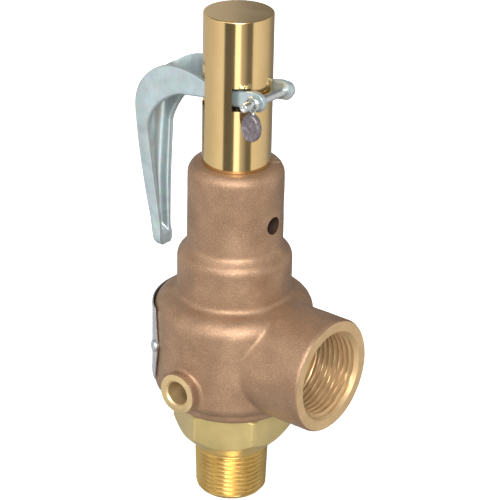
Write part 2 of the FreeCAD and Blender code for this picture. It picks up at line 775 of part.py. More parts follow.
pin_length = s.pin_near_end + s.lever_half_width
pin = new_body("lever_pin")
turned(pin, [(0, -s.pin_head_thickness), (s.pin_head_radius, -s.pin_head_thickness),
             (s.pin_head_radius, 0), (s.pin_radius, 0), (s.pin_radius, pin_length - 0.5),
             (s.pin_radius - 0.5, pin_length), (0, pin_length)], "pin_turning")
place(pin, across=s.nose_across, along=s.lever_half_width, up=s.nose_level, axis=(1, 0, 0), angle=90)
keep(pin, "lever_pin")

loop = doc.addObject("Part::Torus", "seal_wire")
bind(loop, "Radius1", s.loop_radius)
bind(loop, "Radius2", s.loop_wire_radius)
place(loop, across=s.nose_across, along=-s.wire_out, up=s.nose_level, axis=(1, 0, 0), angle=90)
keep(loop, "seal_wire")

seal_face = doc.addObject("Part::Ellipse", "seal_face")
bind(seal_face, "MajorRadius", s.seal_half_height)
bind(seal_face, "MinorRadius", s.seal_half_width)
place(seal_face, across=s.seal_across, along=-s.seal_out, up=s.seal_level, axis=(1, 1, 1), angle=240)
seal = doc.addObject("Part::Extrusion", "seal_block")
seal.Base = seal_face
seal.DirMode = "Normal"
bind(seal, "LengthFwd", s.seal_thickness)
seal.Symmetric = True
seal.Solid = True
keep(seal, "lead_seal")

# ---------------------------------------------------------------- nameplate and drive screws

plate_bottom = s.plate_level - s.plate_half_height
plate_top = s.plate_level + s.plate_half_height
plate_outline = [(-s.plate_point, s.plate_level), (-s.plate_half_width, plate_bottom),
                 (s.plate_half_width, plate_bottom), (s.plate_point, s.plate_level),
                 (s.plate_half_width, plate_top), (-s.plate_half_width, plate_top)]
plate_block = slab("plate_block", UPRIGHT_YZ, plate_outline, s.plate_radius * -2, middle=False)
plate_outer = doc.addObject("Part::Cylinder", "plate_outer")
bind(plate_outer, "Radius", s.plate_radius + s.plate_thickness)
plate_inner = doc.addObject("Part::Cylinder", "plate_inner")
bind(plate_inner, "Radius", s.plate_radius)
for cylinder in (plate_outer, plate_inner):
    bind(cylinder, "Height", s.plate_level * 2)
plate_shell = cut("plate_shell", plate_outer, plate_inner)
plate_sheet = common("plate_sheet", plate_shell, plate_block)


def drive_screw_solid(side, head):
    """The shank or the round head of one drive screw, which points at the valve's axis."""
    solid = doc.addObject("Part::Cylinder", "drive_head" if head else "drive_shank")
    outer = s.plate_radius + s.plate_thickness
    shank_end = s.chamber_radius + 2.5
    if head:
        bind(solid, "Radius", s.drive_head_radius)
        bind(solid, "Height", s.drive_head_height)
        start = outer
    else:
        bind(solid, "Radius", s.drive_screw_radius)
        bind(solid, "Height", outer - shank_end)
        start = shank_end
    angle = 180 + side * s.drive_screw_angle
    lying = FreeCAD.Rotation(FreeCAD.Vector(0, 1, 0), 90)
    turn = FreeCAD.Rotation(FreeCAD.Vector(0, 0, 1), angle.number) * lying
    solid.Placement = FreeCAD.Placement(FreeCAD.Vector(0, 0, 0), turn)
    bind(solid, "Placement.Base.x", Term(0, "%s * cos(%s * 1 deg)" % (start.text, angle.text)))
    bind(solid, "Placement.Base.y", Term(0, "%s * sin(%s * 1 deg)" % (start.text, angle.text)))
    bind(solid, "Placement.Base.z", s.plate_level)
    return solid


drive_screws = []
for side in (-1, 1):
    whole = doc.addObject("Part::MultiFuse", "drive_screw")
    whole.Shapes = [drive_screw_solid(side, False), drive_screw_solid(side, True)]
    drive_screws.append(whole)
doc.recompute()
all_screws = doc.addObject("Part::Compound", "nameplate_screws")
all_screws.Links = drive_screws
nameplate = cut("nameplate_cut", plate_sheet, all_screws)
keep(nameplate, "nameplate")
keep(all_screws, "nameplate_screws")

# ---------------------------------------------------------------- checks and files

doc.recompute()
for thing in doc.Objects:
    if "Invalid" in thing.State or "Error" in thing.State:
        raise RuntimeError("%s is %s" % (thing.Name, thing.State))
for part in parts:
    if part.Shape.isNull() or not part.Shape.isValid():
        raise RuntimeError("%s has no valid shape" % part.Label)
os.makedirs("parts", exist_ok=True)
for part in parts:
    part.Shape.exportStep("parts/%s.step" % part.Label)
    print("%-20s %d solids, %.1f mm3" % (part.Label, len(part.Shape.Solids), part.Shape.Volume))
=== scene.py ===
import json
import math

import bmesh
import bpy
import numpy as np
from mathutils import Matrix, Vector


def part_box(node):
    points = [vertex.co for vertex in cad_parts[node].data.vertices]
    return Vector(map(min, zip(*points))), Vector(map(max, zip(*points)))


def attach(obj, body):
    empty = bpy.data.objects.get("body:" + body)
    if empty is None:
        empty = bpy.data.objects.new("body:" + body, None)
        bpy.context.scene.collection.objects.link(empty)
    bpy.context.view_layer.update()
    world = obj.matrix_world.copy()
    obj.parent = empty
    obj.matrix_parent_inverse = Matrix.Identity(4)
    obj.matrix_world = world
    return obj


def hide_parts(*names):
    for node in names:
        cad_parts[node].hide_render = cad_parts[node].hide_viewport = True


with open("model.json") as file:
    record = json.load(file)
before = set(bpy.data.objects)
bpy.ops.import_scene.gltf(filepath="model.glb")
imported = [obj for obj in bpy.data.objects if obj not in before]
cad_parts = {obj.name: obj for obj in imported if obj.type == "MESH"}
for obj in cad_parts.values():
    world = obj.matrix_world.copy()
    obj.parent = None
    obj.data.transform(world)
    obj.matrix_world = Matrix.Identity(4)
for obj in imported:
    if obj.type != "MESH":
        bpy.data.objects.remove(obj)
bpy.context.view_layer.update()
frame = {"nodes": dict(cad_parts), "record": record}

# Looks of a side-outlet relief valve. Shapes are worked out in millimetres in the CAD frame
# (inlet thread's lower end at the origin, +Z up, +X out of the outlet) and made in metres.

MM = 0.001
TAU = 2 * math.pi


def corners(node):
    """Lowest and highest corner of a CAD node, in millimetres."""
    low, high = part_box(node)
    return [value / MM for value in low], [value / MM for value in high]


MOUNTS = {mount["name"]: mount for mount in frame["record"]["mounts"]}
JOINTS = {joint["name"]: joint for joint in frame["record"]["behaviour"]["joints"]}


def mount_place(name):
    return [value / MM for value in MOUNTS[name]["pos_m"]]


# ---------------------------------------------------------------- mesh helpers

def add_object(name, data):
    piece = bpy.data.objects.new(name, data)
    bpy.context.scene.collection.objects.link(piece)
    return piece


def make_object(name, verts, faces, sharp=35.0):
    """A mesh object from vertices in millimetres, shaded smooth apart from its sharp edges."""
    mesh = bpy.data.meshes.new(name)
    mesh.from_pydata((np.asarray(verts, float) * MM).tolist(), [], [list(face) for face in faces])
    work = bmesh.new()
    work.from_mesh(mesh)
    bmesh.ops.recalc_face_normals(work, faces=work.faces)
    work.to_mesh(mesh)
    work.free()
    mesh.update()
    piece = add_object(name, mesh)
    shade(piece, sharp)
    return piece


def shade(piece, sharp):
    piece.data.polygons.foreach_set("use_smooth", [True] * len(piece.data.polygons))
    piece.data.set_sharp_from_angle(angle=math.radians(sharp))


def grid_faces(rows, columns, wrap_columns=True, wrap_rows=False):
    """Quads of a grid of vertices that is stored row by row."""
    faces = []
    for row in range(rows if wrap_rows else rows - 1):
        after = (row + 1) % rows
        for column in range(columns if wrap_columns else columns - 1):
            beside = (column + 1) % columns
            faces.append((row * columns + column, row * columns + beside,
                          after * columns + beside, after * columns + column))
    return faces


def fillet_path(points, steps):
    """A path of (radius, height, rounding) corners with each rounding made an arc."""
    path = []
    for index, point in enumerate(points):
        if point[2] <= 0:
            path.append((point[0], point[1]))
            continue
        here = np.array(point[:2], float)
        before = np.array(points[index - 1][:2], float) - here
        after = np.array(points[(index + 1) % len(points)][:2], float) - here
        before_unit = before / np.linalg.norm(before)
        after_unit = after / np.linalg.norm(after)
        half = math.acos(np.clip(np.dot(before_unit, after_unit), -1, 1)) / 2
        back = min(point[2] / math.tan(half), 0.49 * np.linalg.norm(before), 0.49 * np.linalg.norm(after))
        radius = back * math.tan(half)
        bisector = before_unit + after_unit
        middle = here + bisector / np.linalg.norm(bisector) * radius / math.sin(half)
        start = here + before_unit * back - middle
        finish = here + after_unit * back - middle
        turn = math.atan2(start[0] * finish[1] - start[1] * finish[0], np.dot(start, finish))
        for step in range(steps + 1):
            angle = turn * step / steps
            spot = middle + (start[0] * math.cos(angle) - start[1] * math.sin(angle),
                             start[0] * math.sin(angle) + start[1] * math.cos(angle))
            path.append((float(spot[0]), float(spot[1])))
    return path


def rod_path(radius, low, high):
    """The path of a plain cylinder."""
    return [(0, low), (radius, low), (radius, high), (0, high)]


def lathe_mesh(path, steps, closed=False):
    """Vertices and faces of a turned shape about Z. A radius or height may be one number or
    one for each step. An open path starts and ends on the axis."""
    turn = np.arange(steps) * TAU / steps
    rows = []
    for radius, height in path:
        around = np.broadcast_to(np.asarray(radius, float), steps)
        level = np.broadcast_to(np.asarray(height, float), steps)
        rows.append(np.stack([around * np.cos(turn), around * np.sin(turn), level], axis=1))
    if closed:
        return np.concatenate(rows), grid_faces(len(rows), steps, wrap_rows=True)
    verts = np.concatenate(rows[1:-1] + [rows[0][:1], rows[-1][:1]])
    inner = len(rows) - 2
    faces = grid_faces(inner, steps)
    foot, crown = inner * steps, inner * steps + 1
    for step in range(steps):
        beside = (step + 1) % steps
        faces.append((foot, beside, step))
        faces.append((crown, (inner - 1) * steps + step, (inner - 1) * steps + beside))
    return verts, faces


def aim(verts, axis, origin):
    """Turn vertices made about Z so that Z points along axis, then move them to origin."""
    turn = Vector((0, 0, 1)).rotation_difference(Vector(axis)).to_matrix()
    return np.asarray(verts) @ np.array(turn).T + np.asarray(origin, float)


def merge_meshes(shells):
    """One array of vertices and one list of faces from several (vertices, faces) pairs."""
    verts, faces = [], []
    for shell_verts, shell_faces in shells:
        shift = sum(len(group) for group in verts)
        verts.append(shell_verts)
        faces += [tuple(index + shift for index in face) for face in shell_faces]
    return np.concatenate(verts), faces


def lathe(name, path, steps=96, closed=False, axis=(0, 0, 1), origin=(0, 0, 0), sharp=35.0):
    verts, faces = lathe_mesh(path, steps, closed)
    return make_object(name, aim(verts, axis, origin), faces, sharp)


def box_object(name, low, high):
    verts = [(x, y, z) for z in (low[2], high[2]) for y in (low[1], high[1]) for x in (low[0], high[0])]
    faces = [(0, 2, 3, 1), (4, 5, 7, 6), (0, 1, 5, 4), (2, 6, 7, 3), (0, 4, 6, 2), (1, 3, 7, 5)]
    return make_object(name, verts, faces)


def apply_modifiers(piece):
    """Freeze a piece's modifiers into its mesh."""
    graph = bpy.context.evaluated_depsgraph_get()
    mesh = bpy.data.meshes.new_from_object(piece.evaluated_get(graph))
    piece.modifiers.clear()
    piece.data = mesh


def boolean(piece, cutters, operation="DIFFERENCE"):
    """Cut or join pieces."""
    for cutter in cutters:
        modifier = piece.modifiers.new("cut", "BOOLEAN")
        modifier.operation = operation
        modifier.object = cutter
        modifier.solver = "MANIFOLD"
    apply_modifiers(piece)
    for cutter in cutters:
        bpy.data.objects.remove(cutter)


def bevel(piece, width, angle, segments=2):
    modifier = piece.modifiers.new("bevel", "BEVEL")
    modifier.width = width * MM
    modifier.segments = segments
    modifier.limit_method = "ANGLE"
    modifier.angle_limit = math.radians(angle)
    modifier.harden_normals = True
    modifier.miter_outer = "MITER_ARC"
    apply_modifiers(piece)


def thread_radius(phase, flat=0.18):
    """Depth of a 60 degree thread, 0 at the crest and 1 at the root, for a phase in turns."""
    part = np.abs((phase % 1.0) - 0.5) * 2
    return np.clip((1 - part - flat / 2) / (1 - flat), 0, 1)


def noise_field(points, size, seed):
    """Smooth repeatable noise from -1 to 1, made of a few crossed waves of about that size."""
    maker = np.random.default_rng(seed)
    total = np.zeros(len(points))
    for _ in range(7):
        way = maker.normal(size=3)
        way *= TAU / (size * np.linalg.norm(way))
        total += np.sin(points @ way + maker.uniform(0, TAU))
    return total / 7


# ---------------------------------------------------------------- materials

def new_material(name, colour, metallic, roughness):
    material = bpy.data.materials.new(name)
    material.use_nodes = True
    shader = material.node_tree.nodes["Principled BSDF"]
    shader.inputs["Base Color"].default_value = (*colour, 1)
    shader.inputs["Metallic"].default_value = metallic
    shader.inputs["Roughness"].default_value = roughness
    return material, material.node_tree, shader


def place_node(tree, stretch=(1, 1, 1)):
    """Object coordinates in millimetres, stretched."""
    coordinates = tree.nodes.new("ShaderNodeTexCoord")
    mapping = tree.nodes.new("ShaderNodeMapping")
    mapping.inputs["Scale"].default_value = [value / MM for value in stretch]
    tree.links.new(coordinates.outputs["Object"], mapping.inputs["Vector"])
    return mapping.outputs["Vector"]


def noise_node(tree, vector, size, detail, roughness=0.55):
    """Noise with features of about size millimetres."""
    noise = tree.nodes.new("ShaderNodeTexNoise")
    noise.inputs["Scale"].default_value = 1 / size
    noise.inputs["Detail"].default_value = detail
    noise.inputs["Roughness"].default_value = roughness
    tree.links.new(vector, noise.inputs["Vector"])
    return noise.outputs["Fac"]


def ramp_node(tree, value, stops):
    """A colour ramp through (position, (r, g, b)) stops."""
    ramp = tree.nodes.new("ShaderNodeValToRGB")
    while len(ramp.color_ramp.elements) < len(stops):
        ramp.color_ramp.elements.new(0.5)
    for element, (position, colour) in zip(ramp.color_ramp.elements, stops):
        element.position = position
        element.color = (*colour, 1)
    tree.links.new(value, ramp.inputs["Fac"])
    return ramp.outputs["Color"]


def range_node(tree, value, low, high, to_low, to_high):
    scaled = tree.nodes.new("ShaderNodeMapRange")
    scaled.inputs["From Min"].default_value = low
    scaled.inputs["From Max"].default_value = high
    scaled.inputs["To Min"].default_value = to_low
    scaled.inputs["To Max"].default_value = to_high
    tree.links.new(value, scaled.inputs["Value"])
    return scaled.outputs["Result"]


def bump_node(tree, shader, heights):
    """Chain bumps of (height, distance in millimetres, strength) into the shader's normal."""
    normal = None
    for height, distance, strength in heights:
        bump = tree.nodes.new("ShaderNodeBump")
        bump.inputs["Distance"].default_value = distance * MM
        bump.inputs["Strength"].default_value = strength
        tree.links.new(height, bump.inputs["Height"])
        if normal:
            tree.links.new(normal, bump.inputs["Normal"])
        normal = bump.outputs["Normal"]
    tree.links.new(normal, shader.inputs["Normal"])


def mix_node(tree, factor, first, second, blend="MIX"):
    mix = tree.nodes.new("ShaderNodeMix")
    mix.data_type = "RGBA"
    mix.blend_type = blend
    if isinstance(factor, float):
        mix.inputs[0].default_value = factor
    else:
        tree.links.new(factor, mix.inputs[0])
    for socket, value in ((6, first), (7, second)):
        if isinstance(value, tuple):
            mix.inputs[socket].default_value = (*value, 1)
        else:
            tree.links.new(value, mix.inputs[socket])
    return mix.outputs[2]


def edge_wear(tree, low, high):
    """1 on raised edges, 0 elsewhere."""
    geometry = tree.nodes.new("ShaderNodeNewGeometry")
    return range_node(tree, geometry.outputs["Pointiness"], low, high, 0.0, 1.0)


def cast_bronze():
    """Sand-cast bronze: pinkish brown, mottled, with a fine sparkling grain."""
    material, tree, shader = new_material("cast_bronze", (0.42, 0.26, 0.17), 0.55, 0.42)
    place = place_node(tree)
    patches = noise_node(tree, place, 9.0, 4.0)
    grain = noise_node(tree, place, 0.42, 2.0, 0.6)
    pits = noise_node(tree, place, 1.7, 3.0, 0.6)
    base = ramp_node(tree, patches, [(0.32, (0.285, 0.172, 0.102)), (0.5, (0.335, 0.205, 0.122)),
                                     (0.68, (0.39, 0.243, 0.148))])
    speck = ramp_node(tree, grain, [(0.28, (0.88, 0.86, 0.84)), (0.58, (1, 1, 1)), (0.70, (1.6, 1.56, 1.5))])
    mixed = mix_node(tree, 1.0, base, speck, "MULTIPLY")
    worn = mix_node(tree, edge_wear(tree, 0.54, 0.70), mixed, (0.66, 0.47, 0.31))
    tree.links.new(worn, shader.inputs["Base Color"])
    tree.links.new(range_node(tree, grain, 0.3, 0.7, 0.55, 0.32), shader.inputs["Roughness"])
    bump_node(tree, shader, [(pits, 0.20, 0.40), (grain, 0.14, 0.9)])
    return material


def machined_brass(name, colour, axis, roughness, metallic):
    """Turned brass: fine lines round the given axis."""
    material, tree, shader = new_material(name, colour, metallic, roughness)
    stretch = {"Z": (0.05, 0.05, 1), "X": (1, 0.05, 0.05), "Y": (0.05, 1, 0.05)}[axis]
    lines = noise_node(tree, place_node(tree, stretch), 0.16, 2.0, 0.7)
    patches = noise_node(tree, place_node(tree), 6.0, 3.0)
    deep = tuple(value * 0.84 for value in colour)
    tone = ramp_node(tree, patches, [(0.3, deep), (0.7, colour)])
    tree.links.new(tone, shader.inputs["Base Color"])
    dullness = range_node(tree, lines, 0.3, 0.7, roughness - 0.06, roughness + 0.1)
    tree.links.new(dullness, shader.inputs["Roughness"])
    bump_node(tree, shader, [(lines, 0.003, 0.2)])
    return material


def polished_brass():
    """The cap: polished brass tube with faint lengthwise lines."""
    material, tree, shader = new_material("polished_brass", (0.77, 0.54, 0.255), 1.0, 0.11)
    lines = noise_node(tree, place_node(tree, (1, 1, 0.02)), 0.25, 2.0, 0.6)
    smears = noise_node(tree, place_node(tree, (1, 1, 0.4)), 7.0, 3.0)
    tone = ramp_node(tree, smears, [(0.3, (0.73, 0.505, 0.225)), (0.7, (0.79, 0.56, 0.27))])
    tree.links.new(tone, shader.inputs["Base Color"])
    tree.links.new(range_node(tree, smears, 0.3, 0.7, 0.09, 0.14), shader.inputs["Roughness"])
    bump_node(tree, shader, [(lines, 0.0008, 0.15)])
    return material


def zinc_plate(name, colour, metallic, roughness):
    """Zinc plating: bluish grey with a soft spangle."""
    material, tree, shader = new_material(name, colour, metallic, roughness)
    cells = tree.nodes.new("ShaderNodeTexVoronoi")
    cells.inputs["Scale"].default_value = 1 / 2.6
    tree.links.new(place_node(tree), cells.inputs["Vector"])
    cloud = noise_node(tree, place_node(tree), 5.0, 4.0)
    fine = noise_node(tree, place_node(tree), 0.5, 2.0)
    dark = tuple(value * 0.86 for value in colour)
    light = tuple(min(1.0, value * 1.07) for value in colour)
    tone = ramp_node(tree, cloud, [(0.3, dark), (0.55, colour), (0.75, light)])
    tint = mix_node(tree, 0.10, tone, cells.outputs["Color"], "SOFT_LIGHT")
    tree.links.new(tint, shader.inputs["Base Color"])
    dullness = range_node(tree, cloud, 0.3, 0.7, roughness + 0.06, roughness - 0.05)
    tree.links.new(dullness, shader.inputs["Roughness"])
    bump_node(tree, shader, [(cloud, 0.10, 0.25), (fine, 0.02, 0.4)])
    return material


def plain_metal(name, colour=(0.72, 0.73, 0.72), roughness=0.2, stretch=(1, 0.05, 1), metallic=1.0):
    """Plain metal with faint lines, drawn out along the axes where stretch is small."""
    material, tree, shader = new_material(name, colour, metallic, roughness)
    lines = noise_node(tree, place_node(tree, stretch), 0.2, 2.0, 0.6)
    cloud = noise_node(tree, place_node(tree), 3.0, 3.0)
    deep = tuple(value * 0.8 for value in colour)
    tree.links.new(ramp_node(tree, cloud, [(0.3, deep), (0.7, colour)]), shader.inputs["Base Color"])
    tree.links.new(range_node(tree, lines, 0.3, 0.7, roughness, roughness + 0.14), shader.inputs["Roughness"])
    bump_node(tree, shader, [(lines, 0.01, 0.4)])
    return material


def lead():
    """Pressed lead: dull, bruised and slightly bluish."""
    material, tree, shader = new_material("lead", (0.24, 0.21, 0.225), 0.8, 0.42)
    bruises = noise_node(tree, place_node(tree), 1.6, 4.0)
    fine = noise_node(tree, place_node(tree), 0.4, 2.0)
    tone = ramp_node(tree, bruises, [(0.3, (0.15, 0.13, 0.14)), (0.55, (0.26, 0.225, 0.24)),
                                     (0.75, (0.50, 0.47, 0.48))])
    tree.links.new(tone, shader.inputs["Base Color"])
    tree.links.new(range_node(tree, bruises, 0.3, 0.7, 0.5, 0.24), shader.inputs["Roughness"])
    bump_node(tree, shader, [(bruises, 0.35, 0.8), (fine, 0.05, 0.6)])
    return material


BRONZE = cast_bronze()
# Near-black painted shade for the vent hole's walls, standing in for the shade inside the hole.
VENT_PAINTED_SHADE = plain_metal("vent_painted_shade", (0.055, 0.03, 0.017), 0.6, (1, 1, 1), 0.3)
BRASS_Z = machined_brass("machined_brass", (0.70, 0.48, 0.16), "Z", 0.30, 0.9)
HEXAGON_BRASS = machined_brass("hexagon_brass", (0.66, 0.51, 0.215), "Z", 0.38, 0.65)
BRASS_X = machined_brass("machined_brass_x", (0.68, 0.465, 0.24), "X", 0.40, 0.7)
BRASS_Y = machined_brass("machined_brass_y", (0.68, 0.50, 0.26), "Y", 0.40, 0.7)
CAP_BRASS = polished_brass()
ZINC_LEVER = zinc_plate("zinc_lever", (0.50, 0.585, 0.60), 0.66, 0.33)
ZINC_SMALL = zinc_plate("zinc_small", (0.62, 0.66, 0.68), 0.95, 0.30)
PIN_STEEL = plain_metal("pin_steel")
SPINDLE_STEEL = plain_metal("spindle_steel", (0.70, 0.70, 0.69), 0.22, (1, 1, 0.05))
SPRING_STEEL = plain_metal("spring_steel", (0.30, 0.30, 0.32), 0.34, (1, 1, 1))
PLATE_METAL = plain_metal("plate_metal", (0.74, 0.75, 0.76), 0.24, (1, 1, 0.03))
LEAD = lead()


def finish_piece(piece, body, material, node):
    """Give a piece its material or materials, its body and the CAD node that it replaces."""
    piece.data.materials.clear()
    for each in material if isinstance(material, list) else [material]:
        piece.data.materials.append(each)
    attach(piece, body)
    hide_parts(node)


# ---------------------------------------------------------------- cast body

OUTLET = mount_place("outlet")
OUTLET_MINOR = MOUNTS["outlet"]["dims"]["r_mm"]
OUTLET_DEPTH = MOUNTS["outlet"]["dims"]["length_mm"]
DRAIN = mount_place("drain")
DRAIN_RADIUS = MOUNTS["drain"]["dims"]["r_mm"]
BODY_LOW = corners("valve_body")[0]
CAP_LOW, CAP_HIGH = corners("cap")
NOZZLE_LOW, NOZZLE_HIGH = corners("inlet_nozzle")
NECK_TOP = CAP_LOW[2]
NECK_RADIUS, NECK_ROUNDING = 17.3, 4.6
SHOULDER_RADIUS, SHOULDER_TOP, SHOULDER_ROUNDING = 20.75, 100.0, 4.8
BELLY_RADIUS, BELLY_BOTTOM, BELLY_TOP = -BODY_LOW[0], 42.6, 81.0
RIM_RADIUS, RIM_ROUNDING = 23.6, 2.2
CORE_LEVEL = 60.0
SPIGOT_RADIUS, SPIGOT_TOP = 10.7, 139.5
OUTLET_RADIUS = 21.0
DRAIN_BOSS_RADIUS = 7.6
VENT_LEVEL, VENT_RADIUS = 111.5, 3.3
# What stands over each machined face until it is cut off.
NECK_EXTRA, OUTLET_EXTRA, DRAIN_EXTRA = 0.7, 0.5, 0.3
# Inside: the nozzle's stem, the chamber, the port, the spindle guide, the spring's room, the screw's bore.
STEM_RADIUS, STEM_TOP = 16.4, 48.5
CHAMBER_RADIUS, PORT_RADIUS = 22.0, 13.4
GUIDE_RADIUS, SPRING_ROOM_RADIUS, SCREW_BORE = 7.06, 11.9, 8.0
# Taper of a pipe thread's radius along its length.
THREAD_TAPER = 1 / 32


def rounded_cylinder(radius, along, size, low, high, round_low, round_high):
    """Signed distance to a cylinder with rounded ends, from a point's radius and place along it."""
    middle = (low + high) / 2
    rounding = np.where(along > middle, round_high, round_low)
    across = radius - (size - rounding)
    beyond = np.abs(along - middle) - ((high - low) / 2 - rounding)
    outside = np.hypot(np.maximum(across, 0), np.maximum(beyond, 0))
    return outside + np.minimum(np.maximum(across, beyond), 0) - rounding


def blend_distance(first, second, width):
    """Union of two distances with a fillet of about that width."""
    near = np.maximum(width - np.abs(first - second), 0) / width
    return np.minimum(first, second) - near * near * width / 4


def body_distance(points):
    """Signed distance from each point to the casting's skin."""
    x, y, z = points.T
    radius = np.hypot(x, y)
    skin = rounded_cylinder(radius, z, NECK_RADIUS, CORE_LEVEL, NECK_TOP + NECK_EXTRA, 1.0, NECK_ROUNDING)
    shoulder = rounded_cylinder(radius, z, SHOULDER_RADIUS, CORE_LEVEL, SHOULDER_TOP, 1.0, SHOULDER_ROUNDING)
    skin = blend_distance(skin, shoulder, 2.2)
    belly = rounded_cylinder(radius, z, BELLY_RADIUS, BELLY_BOTTOM, BELLY_TOP, 4.4, 6.8)
    skin = blend_distance(skin, belly, 2.8)
    rim = rounded_cylinder(radius, z, RIM_RADIUS, BODY_LOW[2], CORE_LEVEL, RIM_ROUNDING, 1.0)
    skin = blend_distance(skin, rim, 1.4)
    boss_radius = np.hypot(y, z - OUTLET[2])
    boss = rounded_cylinder(boss_radius, x, OUTLET_RADIUS, -5.0, OUTLET[0] + OUTLET_EXTRA, 1.0, 1.9)
    skin = blend_distance(skin, boss, 0.8)
    drain_radius = np.hypot(x, z - DRAIN[2])
    drain = rounded_cylinder(drain_radius, -y, DRAIN_BOSS_RADIUS, -2.0, -DRAIN[1] + DRAIN_EXTRA, 0.5, 0.9)
    return blend_distance(skin, drain, 1.1)


def distance_slope(points, step=0.05):
    """The distance at each point and the direction in which it grows."""
    slope = np.zeros_like(points)
    for axis in range(3):
        offset = np.zeros(3)
        offset[axis] = step
        slope[:, axis] = body_distance(points + offset) - body_distance(points - offset)
    slope /= np.maximum(np.linalg.norm(slope, axis=1, keepdims=True), 1e-9)
    return body_distance(points), slope


def settle(points, edges, rounds=6):
    """Even out a mesh's vertices while they stay on the skin."""
    for _ in range(rounds):
        total = np.zeros_like(points)
        count = np.zeros(len(points))
        for one, other in ((0, 1), (1, 0)):
            np.add.at(total, edges[:, one], points[edges[:, other]])
            np.add.at(count, edges[:, one], 1)
        points = points + (total / count[:, None] - points) * 0.5
        for _ in range(2):
            distance, slope = distance_slope(points)
            points = points - slope * distance[:, None]
    return points


def rough_body():
    """The solids of the body, overlapping, to be joined by remeshing."""
    neck_top = NECK_TOP + NECK_EXTRA
    stack = [(RIM_RADIUS, BODY_LOW[2], CORE_LEVEL), (BELLY_RADIUS, BELLY_BOTTOM, BELLY_TOP),
             (SHOULDER_RADIUS, CORE_LEVEL, SHOULDER_TOP), (NECK_RADIUS, CORE_LEVEL + 1, neck_top)]
    shells = [lathe_mesh(rod_path(*rod), 64) for rod in stack]
    bosses = [(OUTLET_RADIUS, OUTLET[0] + 0.8, (1, 0, 0), OUTLET[2]),
              (DRAIN_BOSS_RADIUS, DRAIN_EXTRA - DRAIN[1], (0, -1, 0), DRAIN[2])]
    for radius, reach, axis, level in bosses:
        verts, faces = lathe_mesh(rod_path(radius, -5, reach), 64)
        shells.append((aim(verts, axis, (0, 0, level)), faces))
    return make_object("valve_body_cast", *merge_meshes(shells))


def outlet_cutter():
    """A screw that leaves the outlet's taper thread, with a lead-in cone at the mouth."""
    pitch, depth, steps = 2.209, 1.62, 180
    inside = OUTLET[0] - OUTLET_DEPTH
    turn = np.arange(steps) / steps
    path = [(0, inside - 0.5), (OUTLET_MINOR, inside - 0.5)]
    for place in np.arange(inside, OUTLET[0] + 0.01, pitch / 12):
        ahead = (OUTLET[0] - place) * THREAD_TAPER
        groove = depth * thread_radius(place / pitch + turn) * min(1.0, (place - inside) / 3.0)
        mouth = OUTLET_MINOR + max(0.0, place - OUTLET[0] + 2.0) * 0.95
        path.append((np.maximum(OUTLET_MINOR - ahead + groove, mouth), place))
    rim = path[-1][0] + 0.6
    path += [(rim, OUTLET[0] + 0.6), (rim, OUTLET[0] + 3), (0, OUTLET[0] + 3)]
    return lathe("outlet_cutter", path, steps, axis=(1, 0, 0), origin=(0, 0, OUTLET[2]))


def body_cutters():
    """Everything that is cut out of the casting."""
    room_path = [(0, 37), (STEM_RADIUS, 37), (STEM_RADIUS, STEM_TOP), (CHAMBER_RADIUS, STEM_TOP + 1),
                 (CHAMBER_RADIUS, 70), (PORT_RADIUS, 75), (GUIDE_RADIUS, 75), (GUIDE_RADIUS, 83),
                 (SPRING_ROOM_RADIUS, 83), (SPRING_ROOM_RADIUS, 121.5), (SCREW_BORE, 121.5),
                 (SCREW_BORE, 141), (0, 141)]
    room = lathe("room_cutter", room_path)
    port = lathe("port_cutter", rod_path(PORT_RADIUS, 7, OUTLET[0] - OUTLET_DEPTH + 1), axis=(1, 0, 0),
                 origin=(0, 0, OUTLET[2]))
    face = box_object("face_cutter", (OUTLET[0], -30, 30), (OUTLET[0] + 20, 30, 90))
    reach = -DRAIN[1]
    mouth = DRAIN_RADIUS + 0.6
    drain_path = [(0, 21), (DRAIN_RADIUS, 21), (DRAIN_RADIUS, reach - 0.6), (mouth, reach + 0.01),
                  (mouth, reach + 2), (0, reach + 2)]
    drain = lathe("drain_cutter", drain_path, 64, axis=(0, -1, 0), origin=(0, 0, DRAIN[2]))
    drain_face = box_object("drain_face_cutter", (-12, DRAIN[1] - 10, 38), (12, DRAIN[1], 66))
    vent = lathe("vent_cutter", rod_path(VENT_RADIUS, 10.9, 20), 48, axis=(1, 0, 0),
                 origin=(0, 0, VENT_LEVEL))
    screw_low, screw_high = corners("ring_set_screw")
    level = (screw_low[2] + screw_high[2]) / 2
    side = lathe("screw_cutter", rod_path(2.5, 21, 30), 40, axis=(0, 1, 0), origin=(0, 0, level))
    top = lathe("top_cutter", [(SPIGOT_RADIUS, NECK_TOP), (30, NECK_TOP), (30, NECK_TOP + 12),
                               (SPIGOT_RADIUS, NECK_TOP + 12)], closed=True)
    return [room, outlet_cutter(), port, face, drain, drain_face, vent, side, top]


def machined_faces(piece):
    """1 for each machined face of the outlet, 2 in the drain, 3 on the vent hole's walls, which get painted
    shade, 0 on the dull casting.
    """
    count = len(piece.data.polygons)
    centres = np.empty(count * 3)
    normals = np.empty(count * 3)
    piece.data.polygons.foreach_get("center", centres)
    piece.data.polygons.foreach_get("normal", normals)
    points = centres.reshape(-1, 3) / MM
    distance, slope = distance_slope(points)
    along_skin = np.sum(slope * normals.reshape(-1, 3), axis=1)
    cut = (distance < -0.22) | (distance > 0.3) | (along_skin < 0.9)
    in_outlet = points[:, 0] > OUTLET[0] - OUTLET_DEPTH - 1
    from_drain = np.hypot(points[:, 0], points[:, 2] - DRAIN[2])
    in_drain = (points[:, 1] < DRAIN[1] + 9) & (from_drain < DRAIN_BOSS_RADIUS)
    # The vent hole's walls, which are painted dark as shade.
    in_vent = (points[:, 0] > 8) & (np.hypot(points[:, 1], points[:, 2] - VENT_LEVEL) < VENT_RADIUS + 0.2)
    kinds = np.zeros(len(points), dtype=np.int32)
    for kind, place in enumerate((in_outlet, in_drain, in_vent)):
        kinds[cut & place] = kind + 1
    return kinds


